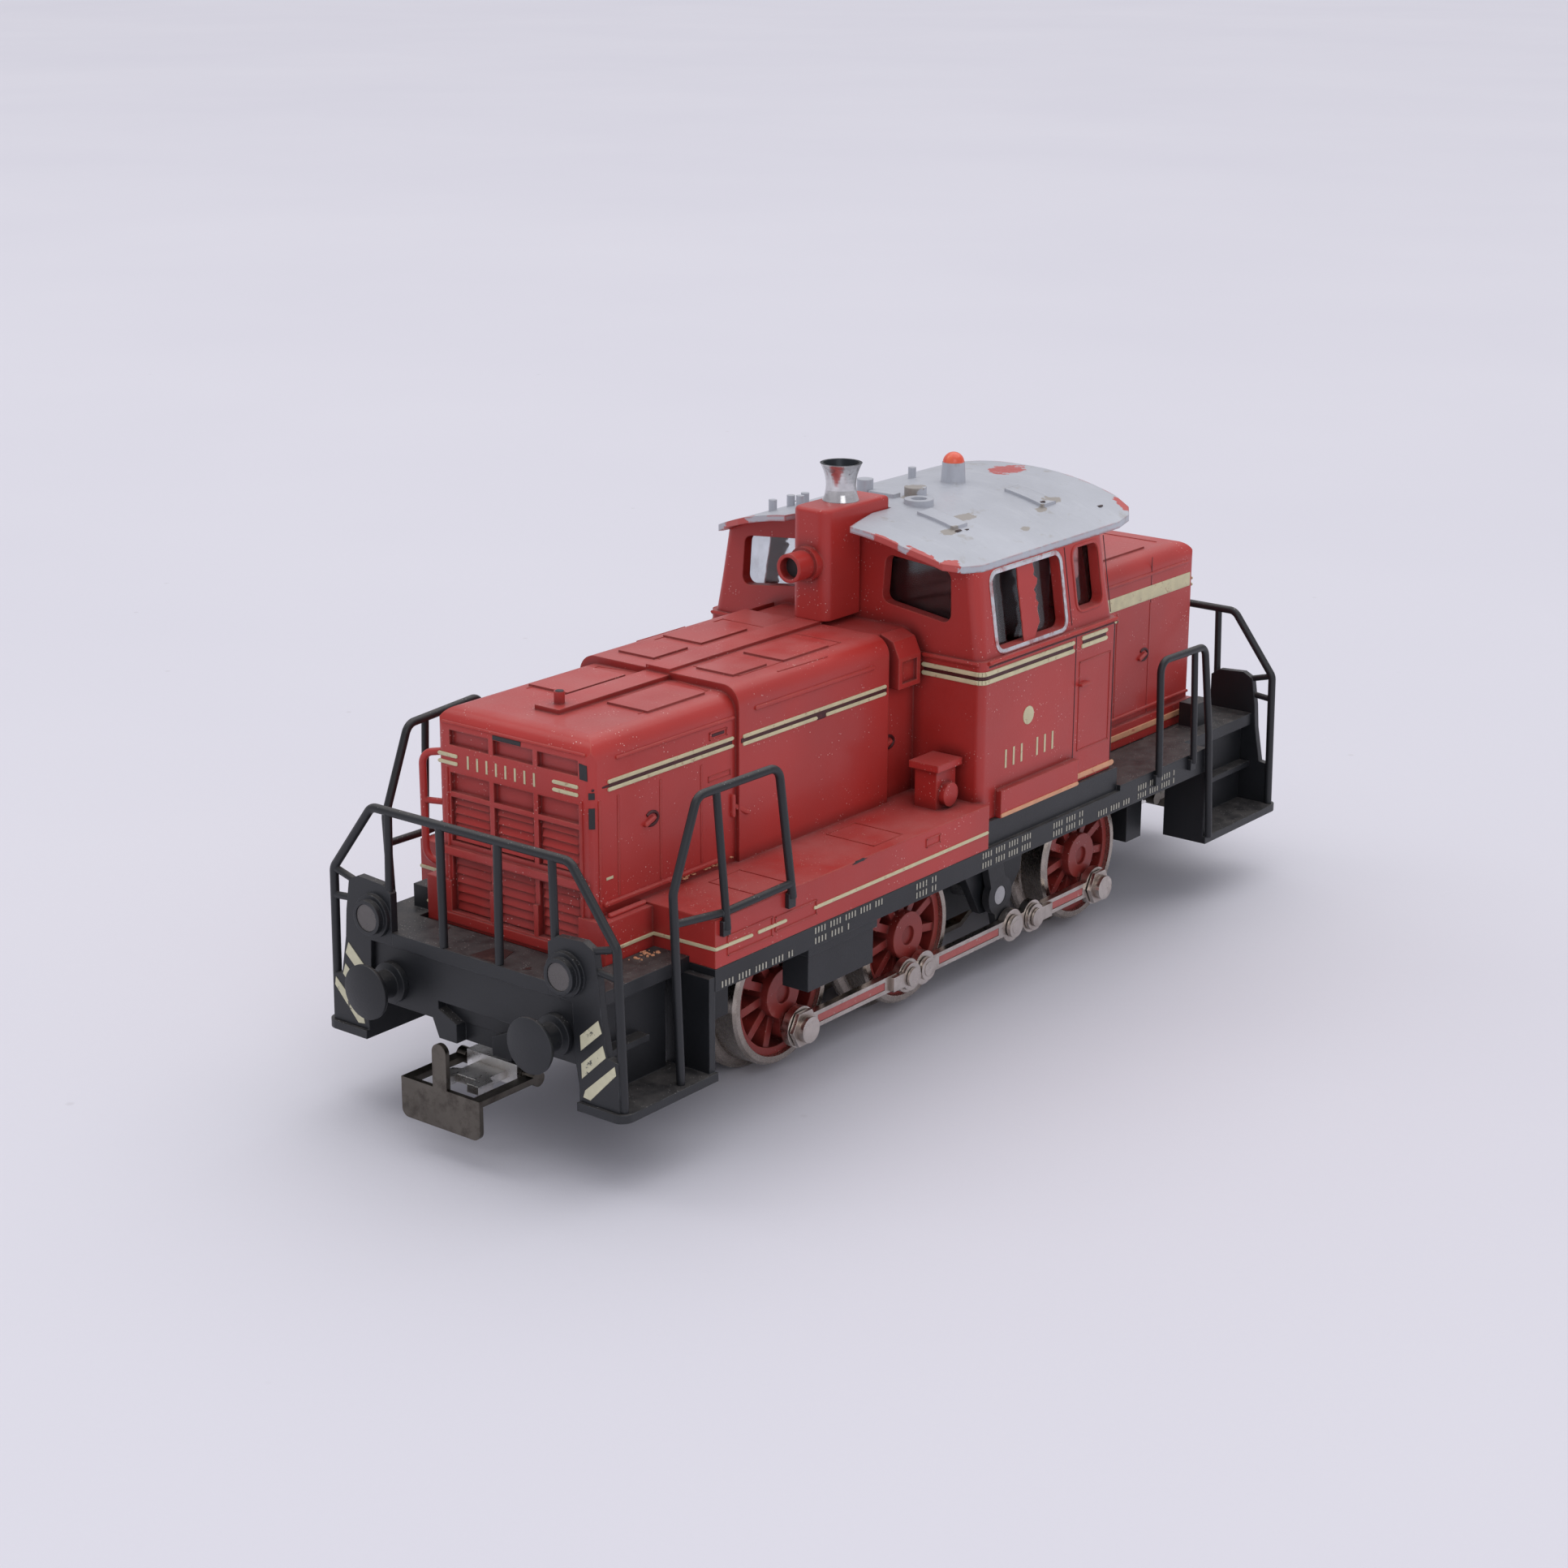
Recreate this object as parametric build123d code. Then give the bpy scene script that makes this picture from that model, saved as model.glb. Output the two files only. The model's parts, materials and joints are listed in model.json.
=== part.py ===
from build123d import *
import math
import os

# Three-axle diesel shunter for 16.5 mm track, scale 1:87, all sizes in millimetres.
# +X points to the long-hood end, +Y to the left side, +Z up; Z = 0 is the bottom of the wheel flanges.

# ---- driving dimensions -------------------------------------------------------------------
COUPLER_FACE_X = 60.6          # front face of each coupler's bow
BUFFER_FACE_X = 60.0
BUFFER_Y = 10.05
BUFFER_Z = 13.3
BEAM_FACE_X = 56.5             # front edge of the end platforms
BEAM_RECESS = 0.45             # the buffer beam lies this far behind it
RAILING_X = 56.1               # plane of the end railings
SHIELD_X = (55.7, 56.5)        # lamp shields, flush with the platform edge
LAMP_Y = 11.7
LAMP_Z = 19.45

HOOD_HALF = 9.32               # half width of both hoods
HOOD_STEP_HALF = 9.75          # half width of the raised middle hood section
HOOD_FRONT_X = 50.24
HOOD_REAR_X = -51.1
HOOD_TOP_Z = 38.3
HOOD_STEP_TOP_Z = 39.0
HOOD_STEP_X = 30.47            # where the raised section starts
HOOD_NECK_X = 7.31             # where the recessed neck next to the cab starts
HOOD_NECK_HALF = 8.95
HOOD_BASE_Z = 17.7
SHOULDER_R = 1.9               # rounding of the hoods' top edges
CORNER_R = 0.7                 # rounding of the hoods' upright corners
CAB_CORNER_R = 0.8
PLINTH_HALF = 10.85
PLINTH_TOP_Z = 22.0
WALL = 1.2
TUNNEL_HALF = 7.9              # inside of the hoods

BOARD_HALF = 18.1              # side running boards and sills
BOARD_X = (1.7, 44.1)
BOARD_Z = (17.65, 22.2)

CAB_X = (-22.4, 2.1)
CAB_LOW_HALF = 17.2
CAB_WAIST_HALF = 16.85
CAB_WAIST_Z = 36.5
CAB_BASE_Z = 20.2
FOOT_X = (-14.6, -0.6)         # panel that stands proud at the foot of each cab side
FOOT_TOP_Z = 23.0
CAB_LEAN = 0.158               # inward lean of the upper side walls, mm per mm of height
CAB_END_LEAN = 0.035           # the same for the front and rear walls
SIDE_WINDOW = (-7.25, 40.75, 12.0, 7.4)      # middle, width and height of each kind of window
DOOR_WINDOW = (-18.0, 41.35, 4.6, 6.3)
END_WINDOW = ((4.7, 40.8), (5.0, 45.6), (12.85, 44.9), (13.1, 39.7))   # (y, z) corners
WINDOW_R = 0.9
ROOF_R = 35.6
ROOF_CROWN_Z = 49.2
ROOF_T = 0.6
ROOF_OUTLINE = (               # left half of the roof in plan, front to rear
    (6.3, 0), (6.3, 4.0), (5.8, 10.4), (4.6, 13.9), (2.6, 15.0), (0.0, 15.5), (-24.9, 15.4),
    (-27.6, 14.9), (-29.1, 13.9), (-29.8, 11.7), (-29.6, 7.0), (-29.0, 0),
)
ROOF_NOTCH = ((-2.75, 2.4), (0.5, 2.4), (7.0, 4.2))     # gap around the exhaust

DECK_Z = (16.9, 17.6)
SILL_Z = 15.5
SILL_IN = 16.9
PLATFORM_TOP = 18.2
STEP_Z = (7.1, 7.9)
STEP_IN = 13.0
STEP_OUT = 18.05
STEP_LIP = 0.35                # the bottom step stands out from the plates above it
DECK_EDGE = 15.1               # outer edge of the platforms above the steps
BAR_BEND_R = 1.3               # bends of the handrails and railings
CORNER_RAIL_Y = 17.5           # the front corner handrails stand on the steps
FRONT_STEP_X = 44.1
REAR_STEP_X = -40.6

WHEEL_Z = 8.2
FRONT_AXLE_X = 26.0
MIDDLE_AXLE_X = 5.8
REAR_AXLE_X = -26.0
JACKSHAFT_X = -9.9
FLANGE_R = 8.2
TREAD_R = 7.15
TYRE_BORE_R = 6.25
TYRE_Y = (7.0, 8.3, 11.3)      # back, outer flange face, outer tyre face
HUB_FACE_Y = 11.5
HUB_R = 2.45
SPOKE_BACK_Y = 8.2             # inner face of the spokes
SPOKE_HALF = 0.42
WEIGHT_IN_R = 4.3              # inner edge of the balance weights
AXLE_R = 1.0
SPOKES = 11
RUN_FIT = 0.05                 # radial clearance of every running fit

CRANK_DX = -1.0                # crank pin from the axle, left side at rest
CRANK_DZ = -3.4
PIN_R = 0.75
CRANK_BOSS_R = 1.5
ROD_Y = (12.1, 12.9)
ROD_EYE_R = 1.75
END_EYE_R = 2.05
KNUCKLE_R = 0.6                # pins that join the end rods to the middle rod
ROD_HALF = 0.85
KNUCKLE_FRONT_X = 7.6          # rod joint ahead of the middle crank pin
KNUCKLE_REAR_X = -14.6         # rod joint behind the jackshaft pin
EYE_LAP_Y = (12.96, 13.4)      # thin eyes of the end rods, lapped over the middle rod

CHASSIS_HALF = 6.4
CHASSIS_X = 46.0
CHASSIS_Z = (4.6, 17.6)
SCREW_X = 36.0                 # the two screws that hold the body down
SCREW_R = 1.0
SCREW_TOP_Z = 14.0
SHOE_POST_X = (12.0, -14.0)    # guide posts of the pickup shoe
SHOE_POST_R = 0.65
RELAY_Z = 24.0                 # coil centre of the reversing relay
RELAY_HINGE = (31.2, 20.2)

GEAR_MODULE = 0.4
AXLE_TEETH = 28
IDLER_TEETH = 30
PINION_TEETH = 12
GEAR_Y = (-6.2, -4.4)
IDLER_DIR = 48.0               # degrees, from the rear axle up to the idler
PINION_DIR = 62.0              # degrees, from the idler up to the motor shaft

PLATFORM_BOX = {               # small box that stands on each end platform: x, y and top
    1: (46.4, 50.0, -13.2, -11.1, 20.4),
    -1: (-49.6, -46.2, 11.1, 13.2, 20.9),
}

COUPLER_PIVOT_X = 49.5
COUPLER_PIN_R = 0.8
COUPLER_Z = (6.4, 7.8)
BAIL_HINGE_X = 52.9
BAIL_HINGE_Z = 6.6
BAIL_PIN_R = 0.5
BOW_SIZE = (9.6, 3.8)          # width and height of the coupler bow's plate
BOW_Z = 5.0
BOW_T = 0.5

SHIELD_OUTLINE = (             # y and z of a lamp shield with the striped corner plate under it
    (9.6, 17.0), (9.6, 21.9), (10.6, 22.6), (13.7, 22.8), (14.9, 22.2), (15.4, 19.1), (15.6, 16.5),
    (16.3, 12.7), (17.5, 12.5), (17.6, STEP_Z[1]), (13.2, STEP_Z[1]), (12.7, 11.0), (12.5, 12.6),
    (12.3, 16.9),
)
ROOF_LIDS = ((-5.4, -3.0, 5.4, 9.8), (-20.5, -18.0, 5.7, 10.4))
ROOF_SPIKES = ((-0.4, -8.5), (-1.2, -7.3), (2.3, -8.7), (0.9, -6.3), (-17.5, -5.7))
CHIMNEY_X = 2.45
CHIMNEY_R = (1.86, 1.5, 2.11)  # foot, waist and rim
BEACON_X = -16.9
BEACON_R = 1.3

os.makedirs("parts", exist_ok=True)


# ---- helpers ------------------------------------------------------------------------------
def block(x0, x1, y0, y1, z0, z1):
    return Pos((x0 + x1) / 2, (y0 + y1) / 2, (z0 + z1) / 2) * Box(x1 - x0, y1 - y0, z1 - z0)


def both_sides(solid):
    return solid + mirror(solid, about=Plane.XZ)


def bar_x(y, z, r, x0, x1):
    return Pos((x0 + x1) / 2, y, z) * Rot(0, 90, 0) * Cylinder(r, x1 - x0)


def bar_y(x, z, r, y0, y1):
    return Pos(x, (y0 + y1) / 2, z) * Rot(90, 0, 0) * Cylinder(r, y1 - y0)


def bar_z(x, y, r, z0, z1):
    return Pos(x, y, (z0 + z1) / 2) * Cylinder(r, z1 - z0)


def prism_x(yz, x0, x1):
    return extrude(Plane.YZ.offset(x0) * make_face(Polyline(*yz, close=True)), amount=x1 - x0)


def prism_y(xz, y0, y1):
    return extrude(Plane.XZ.offset(-y1) * make_face(Polyline(*xz, close=True)), amount=y1 - y0)


def prism_z(xy, z0, z1):
    return extrude(Plane.XY.offset(z0) * make_face(Polyline(*xy, close=True)), amount=z1 - z0)


def wire(points, r):
    """A round bar along the points, bent to BAR_BEND_R at each point between its ends."""
    start, ahead = Vector(*points[0]), Vector(*points[1])
    section = Plane(origin=start, z_dir=ahead - start) * Circle(r)
    if len(points) == 2:
        return extrude(section, amount=(ahead - start).length)
    return sweep(section, path=FilletPolyline(*points, radius=BAR_BEND_R))


def turn(profile, x, z):
    """Revolve an (r, y) outline about the Y-parallel axis through (x, z)."""
    face = Plane.XY * make_face(Polyline(*profile, close=True))
    return Pos(x, 0, z) * revolve(face, Axis.Y)


def save(solid, name):
    export_step(solid, f"parts/{name}.step")


def pin_centre(axle_x, side):
    """Crank pin of an axle; the right side is quartered, 90 degrees from the left."""
    if side > 0:
        return axle_x + CRANK_DX, WHEEL_Z + CRANK_DZ
    return axle_x - CRANK_DZ, WHEEL_Z + CRANK_DX


def span(side, inner, outer):
    """Y range of a piece that lies between two distances from the centreline."""
    return (inner, outer) if side > 0 else (-outer, -inner)


# ---- running gear -------------------------------------------------------------------------
def tyre(x, side):
    back, flange_face, face = TYRE_Y
    profile = [
        (TYRE_BORE_R, back), (FLANGE_R - 0.35, back), (FLANGE_R, back + 0.35),
        (FLANGE_R, flange_face - 0.55), (FLANGE_R - 0.3, flange_face - 0.2),
        (TREAD_R + 0.15, flange_face), (TREAD_R, flange_face + 0.2),
        (TREAD_R - 0.05, face - 0.3), (TREAD_R - 0.3, face), (TYRE_BORE_R, face),
    ]
    solid = turn(profile, x, WHEEL_Z)
    return solid if side > 0 else mirror(solid, about=Plane.XZ)


def wheel_centre(x, side):
    y0, y1 = span(side, TYRE_Y[0] + 0.2, TYRE_Y[2] - 0.5)
    rim = bar_y(x, WHEEL_Z, TYRE_BORE_R, y0, y1) - bar_y(x, WHEEL_Z, TYRE_BORE_R - 0.75, y0 - 1, y1 + 1)
    hub = bar_y(x, WHEEL_Z, HUB_R, *span(side, TYRE_Y[0] + 0.2, HUB_FACE_Y))
    solid = rim + hub
    spoke_y = span(side, SPOKE_BACK_Y, TYRE_Y[2] - 0.7)
    px, pz = pin_centre(x, side)
    crank_angle = math.degrees(math.atan2(pz - WHEEL_Z, px - x))
    for i in range(SPOKES):
        angle = crank_angle + 360 / SPOKES * i
        spoke = block(1.8, TYRE_BORE_R - 0.4, *spoke_y, -SPOKE_HALF, SPOKE_HALF)
        solid += Pos(x, 0, WHEEL_Z) * Rot(0, -angle, 0) * spoke
    boss = bar_y(px, pz, CRANK_BOSS_R, *span(side, SPOKE_BACK_Y, HUB_FACE_Y))
    throw = math.hypot(px - x, pz - WHEEL_Z)
    web = block(0, throw, *span(side, SPOKE_BACK_Y, HUB_FACE_Y - 0.1), -1.2, 1.2)
    solid += boss + Pos(x, 0, WHEEL_Z) * Rot(0, -crank_angle, 0) * web
    weight = bar_y(x, WHEEL_Z, TYRE_BORE_R - 0.3, *spoke_y)
    weight -= bar_y(x, WHEEL_Z, WEIGHT_IN_R, spoke_y[0] - 1, spoke_y[1] + 1)
    keep = Pos(x, 0, WHEEL_Z) * Rot(0, -crank_angle - 180, 0) * block(2.4, 8, *spoke_y, -3.6, 3.6)
    solid += weight & keep
    solid -= bar_y(x, WHEEL_Z, AXLE_R, y0 - 3, y1 + 3)
    bore = span(side, SPOKE_BACK_Y, HUB_FACE_Y + 1)
    return solid - bar_y(px, pz, PIN_R, *bore)


def crank_pin(px, pz, side, root_y, hexagon):
    """Turned pin with a shoulder and a button head; a hexagon base on the end wheels."""
    solid = bar_y(px, pz, PIN_R, *span(side, root_y, 13.5))
    if hexagon:
        base = extrude(Plane.XZ * RegularPolygon(1.55, 6), amount=0.42, both=False)
        offset = -HUB_FACE_Y - 0.08 if side < 0 else HUB_FACE_Y + 0.08 + 0.42
        solid += Pos(px, offset, pz) * base
        nut = extrude(Plane.XZ * RegularPolygon(1.95, 6), amount=0.45)
        solid += Pos(px, (13.0 + 0.45) if side > 0 else -13.0, pz) * nut
        solid += bar_y(px, pz, 1.3, *span(side, 13.4, 14.15))
    else:
        solid += bar_y(px, pz, 1.2, *span(side, 13.0, 13.45))
    return solid


def axle(x):
    return bar_y(x, WHEEL_Z, AXLE_R, -HUB_FACE_Y + 0.3, HUB_FACE_Y - 0.3)


def wheelset(prefix, x, hexagon):
    save(tyre(x, 1) + tyre(x, -1), f"{prefix}_tyres")
    save(wheel_centre(x, 1) + wheel_centre(x, -1), f"{prefix}_wheel_centres")
    save(axle(x), f"{prefix}_axle")
    pins = None
    for side in (1, -1):
        px, pz = pin_centre(x, side)
        pin = crank_pin(px, pz, side, SPOKE_BACK_Y, hexagon)
        pins = pin if pins is None else pins + pin
    save(pins, f"{prefix}_crank_pins")


def jackshaft():
    save(bar_y(JACKSHAFT_X, WHEEL_Z, AXLE_R, -11.9, 11.9), "jackshaft_axle")
    cranks = None
    for side in (1, -1):
        px, pz = pin_centre(JACKSHAFT_X, side)
        angle = math.degrees(math.atan2(pz - WHEEL_Z, px - JACKSHAFT_X))
        throw = math.hypot(px - JACKSHAFT_X, pz - WHEEL_Z)
        y_span = span(side, 11.1, 11.95)
        arm = bar_y(JACKSHAFT_X, WHEEL_Z, 2.1, *y_span) + bar_y(px, pz, CRANK_BOSS_R, *y_span)
        arm += Pos(JACKSHAFT_X, 0, WHEEL_Z) * Rot(0, -angle, 0) * block(0, throw, *y_span, -1.45, 1.45)
        tail = block(-4.2, 0, *y_span, -1.3, 1.3)
        arm += Pos(JACKSHAFT_X, 0, WHEEL_Z) * Rot(0, -angle, 0) * tail
        arm -= bar_y(JACKSHAFT_X, WHEEL_Z, AXLE_R, y_span[0] - 1, y_span[1] + 1)
        arm += crank_pin(px, pz, side, 11.1, False)
        cranks = arm if cranks is None else cranks + arm
    save(cranks, "jackshaft_cranks")


def flat_rod(x0, x1, z, side, eyes, eye_r):
    """A flat bar with round eyes."""
    y0, y1 = span(side, *ROD_Y)
    solid = block(x0, x1, y0, y1, z - ROD_HALF, z + ROD_HALF)
    for x in eyes:
        solid += bar_y(x, z, eye_r, y0, y1)
    return solid


def rod_groove(x0, x1, z, side):
    """Shallow panel sunk in a rod's outer face."""
    face_y = ROD_Y[1]
    return block(x0, x1, *span(side, face_y - 0.18, face_y + 1), z - 0.42, z + 0.42)


def rod_joint(x, toward, z, side):
    """Thin eye that laps over the middle rod's end at x; its tongue reaches towards the end rod."""
    lap = span(side, *EYE_LAP_Y)
    gap = ROD_EYE_R + 0.15
    eye = bar_y(x, z, 1.45, *lap)
    eye += block(*sorted((x, x + toward * (gap + 1.2))), *lap, z - 0.75, z + 0.75)
    foot = sorted((x + toward * (gap + 0.1), x + toward * (gap + 1.2)))
    return eye + block(*foot, *span(side, ROD_Y[0], EYE_LAP_Y[1]), z - 0.75, z + 0.75)


def rods(side):
    label = "left" if side > 0 else "right"
    y0, y1 = span(side, *ROD_Y)
    dx, z = pin_centre(0, side)
    pins = [x + dx for x in (FRONT_AXLE_X, MIDDLE_AXLE_X, JACKSHAFT_X, REAR_AXLE_X)]
    shift = dx - CRANK_DX
    k1 = KNUCKLE_FRONT_X + shift
    k2 = KNUCKLE_REAR_X + shift
    gap = ROD_EYE_R + 0.15

    front = flat_rod(k1 + gap, pins[0], z, side, [pins[0]], END_EYE_R) + rod_joint(k1, 1, z, side)
    front -= bar_y(pins[0], z, PIN_R + RUN_FIT, y0 - 2, y1 + 2)
    front -= bar_y(k1, z, KNUCKLE_R + RUN_FIT, y0 - 2, y1 + 2)
    front -= rod_groove(k1 + gap + 2.0, pins[0] - 2.6, z, side)
    save(front, f"front_rod_{label}")

    middle = flat_rod(k2, k1, z, side, [k1, pins[1], pins[2], k2], ROD_EYE_R)
    middle -= bar_y(pins[1], z, PIN_R + RUN_FIT, y0 - 2, y1 + 2)
    middle -= bar_y(pins[2], z, PIN_R + RUN_FIT, y0 - 2, y1 + 2)
    middle -= rod_groove(pins[2] + 2.5, pins[1] - 2.5, z, side)
    for x in (k1, k2):
        middle += bar_y(x, z, KNUCKLE_R, *span(side, ROD_Y[0], 13.5))
        middle += bar_y(x, z, 1.0, *span(side, 13.46, 13.75))
    save(middle, f"middle_rod_{label}")

    rear = flat_rod(pins[3], k2 - gap, z, side, [pins[3]], END_EYE_R) + rod_joint(k2, -1, z, side)
    rear -= bar_y(pins[3], z, PIN_R + RUN_FIT, y0 - 2, y1 + 2)
    rear -= bar_y(k2, z, KNUCKLE_R + RUN_FIT, y0 - 2, y1 + 2)
    rear -= rod_groove(pins[3] + 2.6, k2 - gap - 2.0, z, side)
    save(rear, f"rear_rod_{label}")


# ---- gear train and motor -----------------------------------------------------------------
def gear_outline(teeth, phase):
    """Involute gear outline; phase is the angle of one tooth's centre, in radians."""
    pressure = math.radians(20)
    pitch_r = GEAR_MODULE * teeth / 2
    base_r = pitch_r * math.cos(pressure)
    tip_r = pitch_r + 0.8 * GEAR_MODULE
    root_r = pitch_r - 1.1 * GEAR_MODULE
    play = 0.09
    half = math.pi / (2 * teeth) - play / (2 * pitch_r)
    start_r = max(base_r, root_r)
    flank = []
    for i in range(5):
        r = start_r + (tip_r - start_r) * i / 4
        roll = math.acos(min(1.0, base_r / r))
        flank.append((r, half + math.tan(pressure) - pressure - (math.tan(roll) - roll)))
    points = []
    for tooth in range(teeth):
        centre = phase + 2 * math.pi * tooth / teeth
        side = [(root_r, flank[0][1])] + flank if root_r < start_r else flank
        for r, angle in side:
            points.append((r * math.cos(centre - angle), r * math.sin(centre - angle)))
        for r, angle in reversed(side):
            points.append((r * math.cos(centre + angle), r * math.sin(centre + angle)))
    return points


def gear(x, z, teeth, phase, bore_r):
    solid = prism_y(gear_outline(teeth, phase), *GEAR_Y)
    return Pos(x, 0, z) * (solid - bar_y(0, 0, bore_r, GEAR_Y[0] - 1, GEAR_Y[1] + 1))


def gear_centres():
    a, b = math.radians(IDLER_DIR), math.radians(PINION_DIR)
    d1 = GEAR_MODULE * (AXLE_TEETH + IDLER_TEETH) / 2
    d2 = GEAR_MODULE * (IDLER_TEETH + PINION_TEETH) / 2
    idler = (REAR_AXLE_X + d1 * math.cos(a), WHEEL_Z + d1 * math.sin(a))
    motor = (idler[0] + d2 * math.cos(b), idler[1] + d2 * math.sin(b))
    return idler, motor


IDLER, MOTOR = gear_centres()
SHAFT_R = 0.75
ARMATURE_R = 7.4
STATOR_BORE_R = 7.75
STATOR_Y = (-3.2, 3.6)
BRUSH_PLATE_Y = (6.6, 7.5)
COMMUTATOR_Y = (4.4, 5.2)


def gear_train():
    a, b = math.radians(IDLER_DIR), math.radians(PINION_DIR)
    save(gear(REAR_AXLE_X, WHEEL_Z, AXLE_TEETH, a, AXLE_R), "rear_axle_gear")
    idler_phase = a + math.pi + math.pi / IDLER_TEETH
    web = gear(*IDLER, IDLER_TEETH, idler_phase, SHAFT_R + RUN_FIT)
    save(web, "idler_gear")
    pitch = 2 * math.pi / IDLER_TEETH
    offset = (b - idler_phase) % pitch
    pinion_phase = b + math.pi + offset * IDLER_TEETH / PINION_TEETH + math.pi / PINION_TEETH
    save(gear(*MOTOR, PINION_TEETH, pinion_phase, SHAFT_R), "motor_pinion")
    pin = bar_y(*IDLER, SHAFT_R, -6.3, -2.6) + bar_y(*IDLER, 1.2, -6.57, -6.26)
    save(pin, "idler_pin")


def armature():
    x, z = MOTOR
    save(bar_y(x, z, SHAFT_R, -6.7, 8.0), "armature_shaft")
    core = bar_y(x, z, ARMATURE_R, -2.8, 3.2)
    for i in range(3):
        slot = block(3.0, ARMATURE_R + 1, -4, 4, -0.6, 0.6) + block(3.0, ARMATURE_R - 1.0, -4, 4, -2.4, 2.4)
        core -= Pos(x, 0, z) * Rot(0, 120 * i + 60, 0) * slot
    core -= bar_y(x, z, SHAFT_R, -4, 4)
    save(core, "armature_core")
    coils = None
    for i in range(3):
        coil = block(3.3, ARMATURE_R - 1.3, -2.7, 3.1, -2.2, 2.2) - block(0, ARMATURE_R, -3, 4, -0.3, 0.3)
        coil = Pos(x, 0, z) * Rot(0, 120 * i + 60, 0) * coil
        coils = coil if coils is None else coils + coil
    save(coils, "armature_windings")
    disc = bar_y(x, z, 4.3, *COMMUTATOR_Y) + bar_y(x, z, 1.7, 3.25, COMMUTATOR_Y[0])
    disc -= bar_y(x, z, SHAFT_R, 3, 6)
    for i in range(3):
        cut = block(1.7, 5, COMMUTATOR_Y[1] - 0.4, COMMUTATOR_Y[1] + 1, -0.15, 0.15)
        disc -= Pos(x, 0, z) * Rot(0, 120 * i, 0) * cut
    save(disc, "commutator")


def motor_fixed():
    x, z = MOTOR
    stator = block(x - 9.6, x + 9.6, *STATOR_Y, DECK_Z[1], z + 9.3)
    stator -= bar_y(x, z, STATOR_BORE_R, STATOR_Y[0] - 1, STATOR_Y[1] + 1)
    stator -= bar_y(*IDLER, 1.2, -8, -2)
    neck = block(x - 3.2, x + 3.2, *STATOR_Y, z + 9.3, z + 11.6)
    save(stator + neck, "motor_stator")
    coil = block(x - 6.5, x + 6.5, -5.2, 5.6, z + 9.35, z + 11.5)
    coil -= block(x - 3.25, x + 3.25, STATOR_Y[0] - 0.05, STATOR_Y[1] + 0.05, z + 9, z + 12)
    save(coil, "field_coil")
    plate = block(x - 9.0, x + 9.0, *BRUSH_PLATE_Y, z - 5.5, z + 5.5)
    plate -= bar_y(x, z, SHAFT_R + RUN_FIT, 6, 8)
    for sx in (-8.2, 8.2):
        plate += bar_y(x + sx, z, 0.7, STATOR_Y[1], BRUSH_PLATE_Y[0])
    for sx in (-3.0, 3.0):
        plate += bar_y(x + sx, z, 1.5, BRUSH_PLATE_Y[0] - 0.8, BRUSH_PLATE_Y[0])
        plate -= bar_y(x + sx, z, 1.0, 5, 8)
    save(plate, "brush_plate")
    brushes = None
    for sx in (-3.0, 3.0):
        brush = bar_y(x + sx, z, 1.0, COMMUTATOR_Y[1] + 0.05, BRUSH_PLATE_Y[1] + 0.35)
        brushes = brush if brushes is None else brushes + brush
    save(brushes, "carbon_brushes")


# ---- chassis ------------------------------------------------------------------------------
def chassis_frame():
    half = CHASSIS_HALF
    x, z = MOTOR
    solid = block(-CHASSIS_X, CHASSIS_X, -half, half, *CHASSIS_Z)
    solid += block(35.5, CHASSIS_X - 1, -6.3, 6.3, CHASSIS_Z[1], 31.0)
    solid += block(-CHASSIS_X + 1, -29.0, -6.3, 6.3, CHASSIS_Z[1], 30.0)
    solid -= block(-34.0, -8.0, -half - 1, -4.15, 0, 40)
    solid += block(x - 3.0, x + 3.0, -4.15, -3.35, CHASSIS_Z[1] - 1, z + 3.0)
    solid -= bar_y(x, z, SHAFT_R + RUN_FIT, -5, -2)
    solid -= bar_y(x, z, STATOR_BORE_R, -3.3, 3.7)
    for axle_x in (FRONT_AXLE_X, MIDDLE_AXLE_X, JACKSHAFT_X, REAR_AXLE_X):
        solid -= bar_y(axle_x, WHEEL_Z, AXLE_R + RUN_FIT, -half - 1, half + 1)
    solid -= bar_y(*IDLER, SHAFT_R, -5, -2.6)
    for end in (1, -1):
        solid -= block(*sorted((end * 38.5, end * 60)), -half - 1, half + 1, 0, 10.0)
    for screw_x in (SCREW_X, -SCREW_X):
        solid -= bar_z(screw_x, 0, SCREW_R, 0, SCREW_TOP_Z)
    for post_x in SHOE_POST_X:
        solid -= bar_z(post_x, 0, 0.85, 0, 7.3)
    save(solid, "chassis_frame")


def chassis_screws():
    screws = None
    for screw_x in (SCREW_X, -SCREW_X):
        screw = bar_z(screw_x, 0, 1.9, CHASSIS_Z[0] - 0.9, CHASSIS_Z[0])
        screw += bar_z(screw_x, 0, SCREW_R, CHASSIS_Z[0], SCREW_TOP_Z)
        screw -= block(screw_x - 2.5, screw_x + 2.5, -0.2, 0.2, CHASSIS_Z[0] - 1.5, CHASSIS_Z[0] - 0.5)
        screws = screw if screws is None else screws + screw
    save(screws, "chassis_screws")


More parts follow.
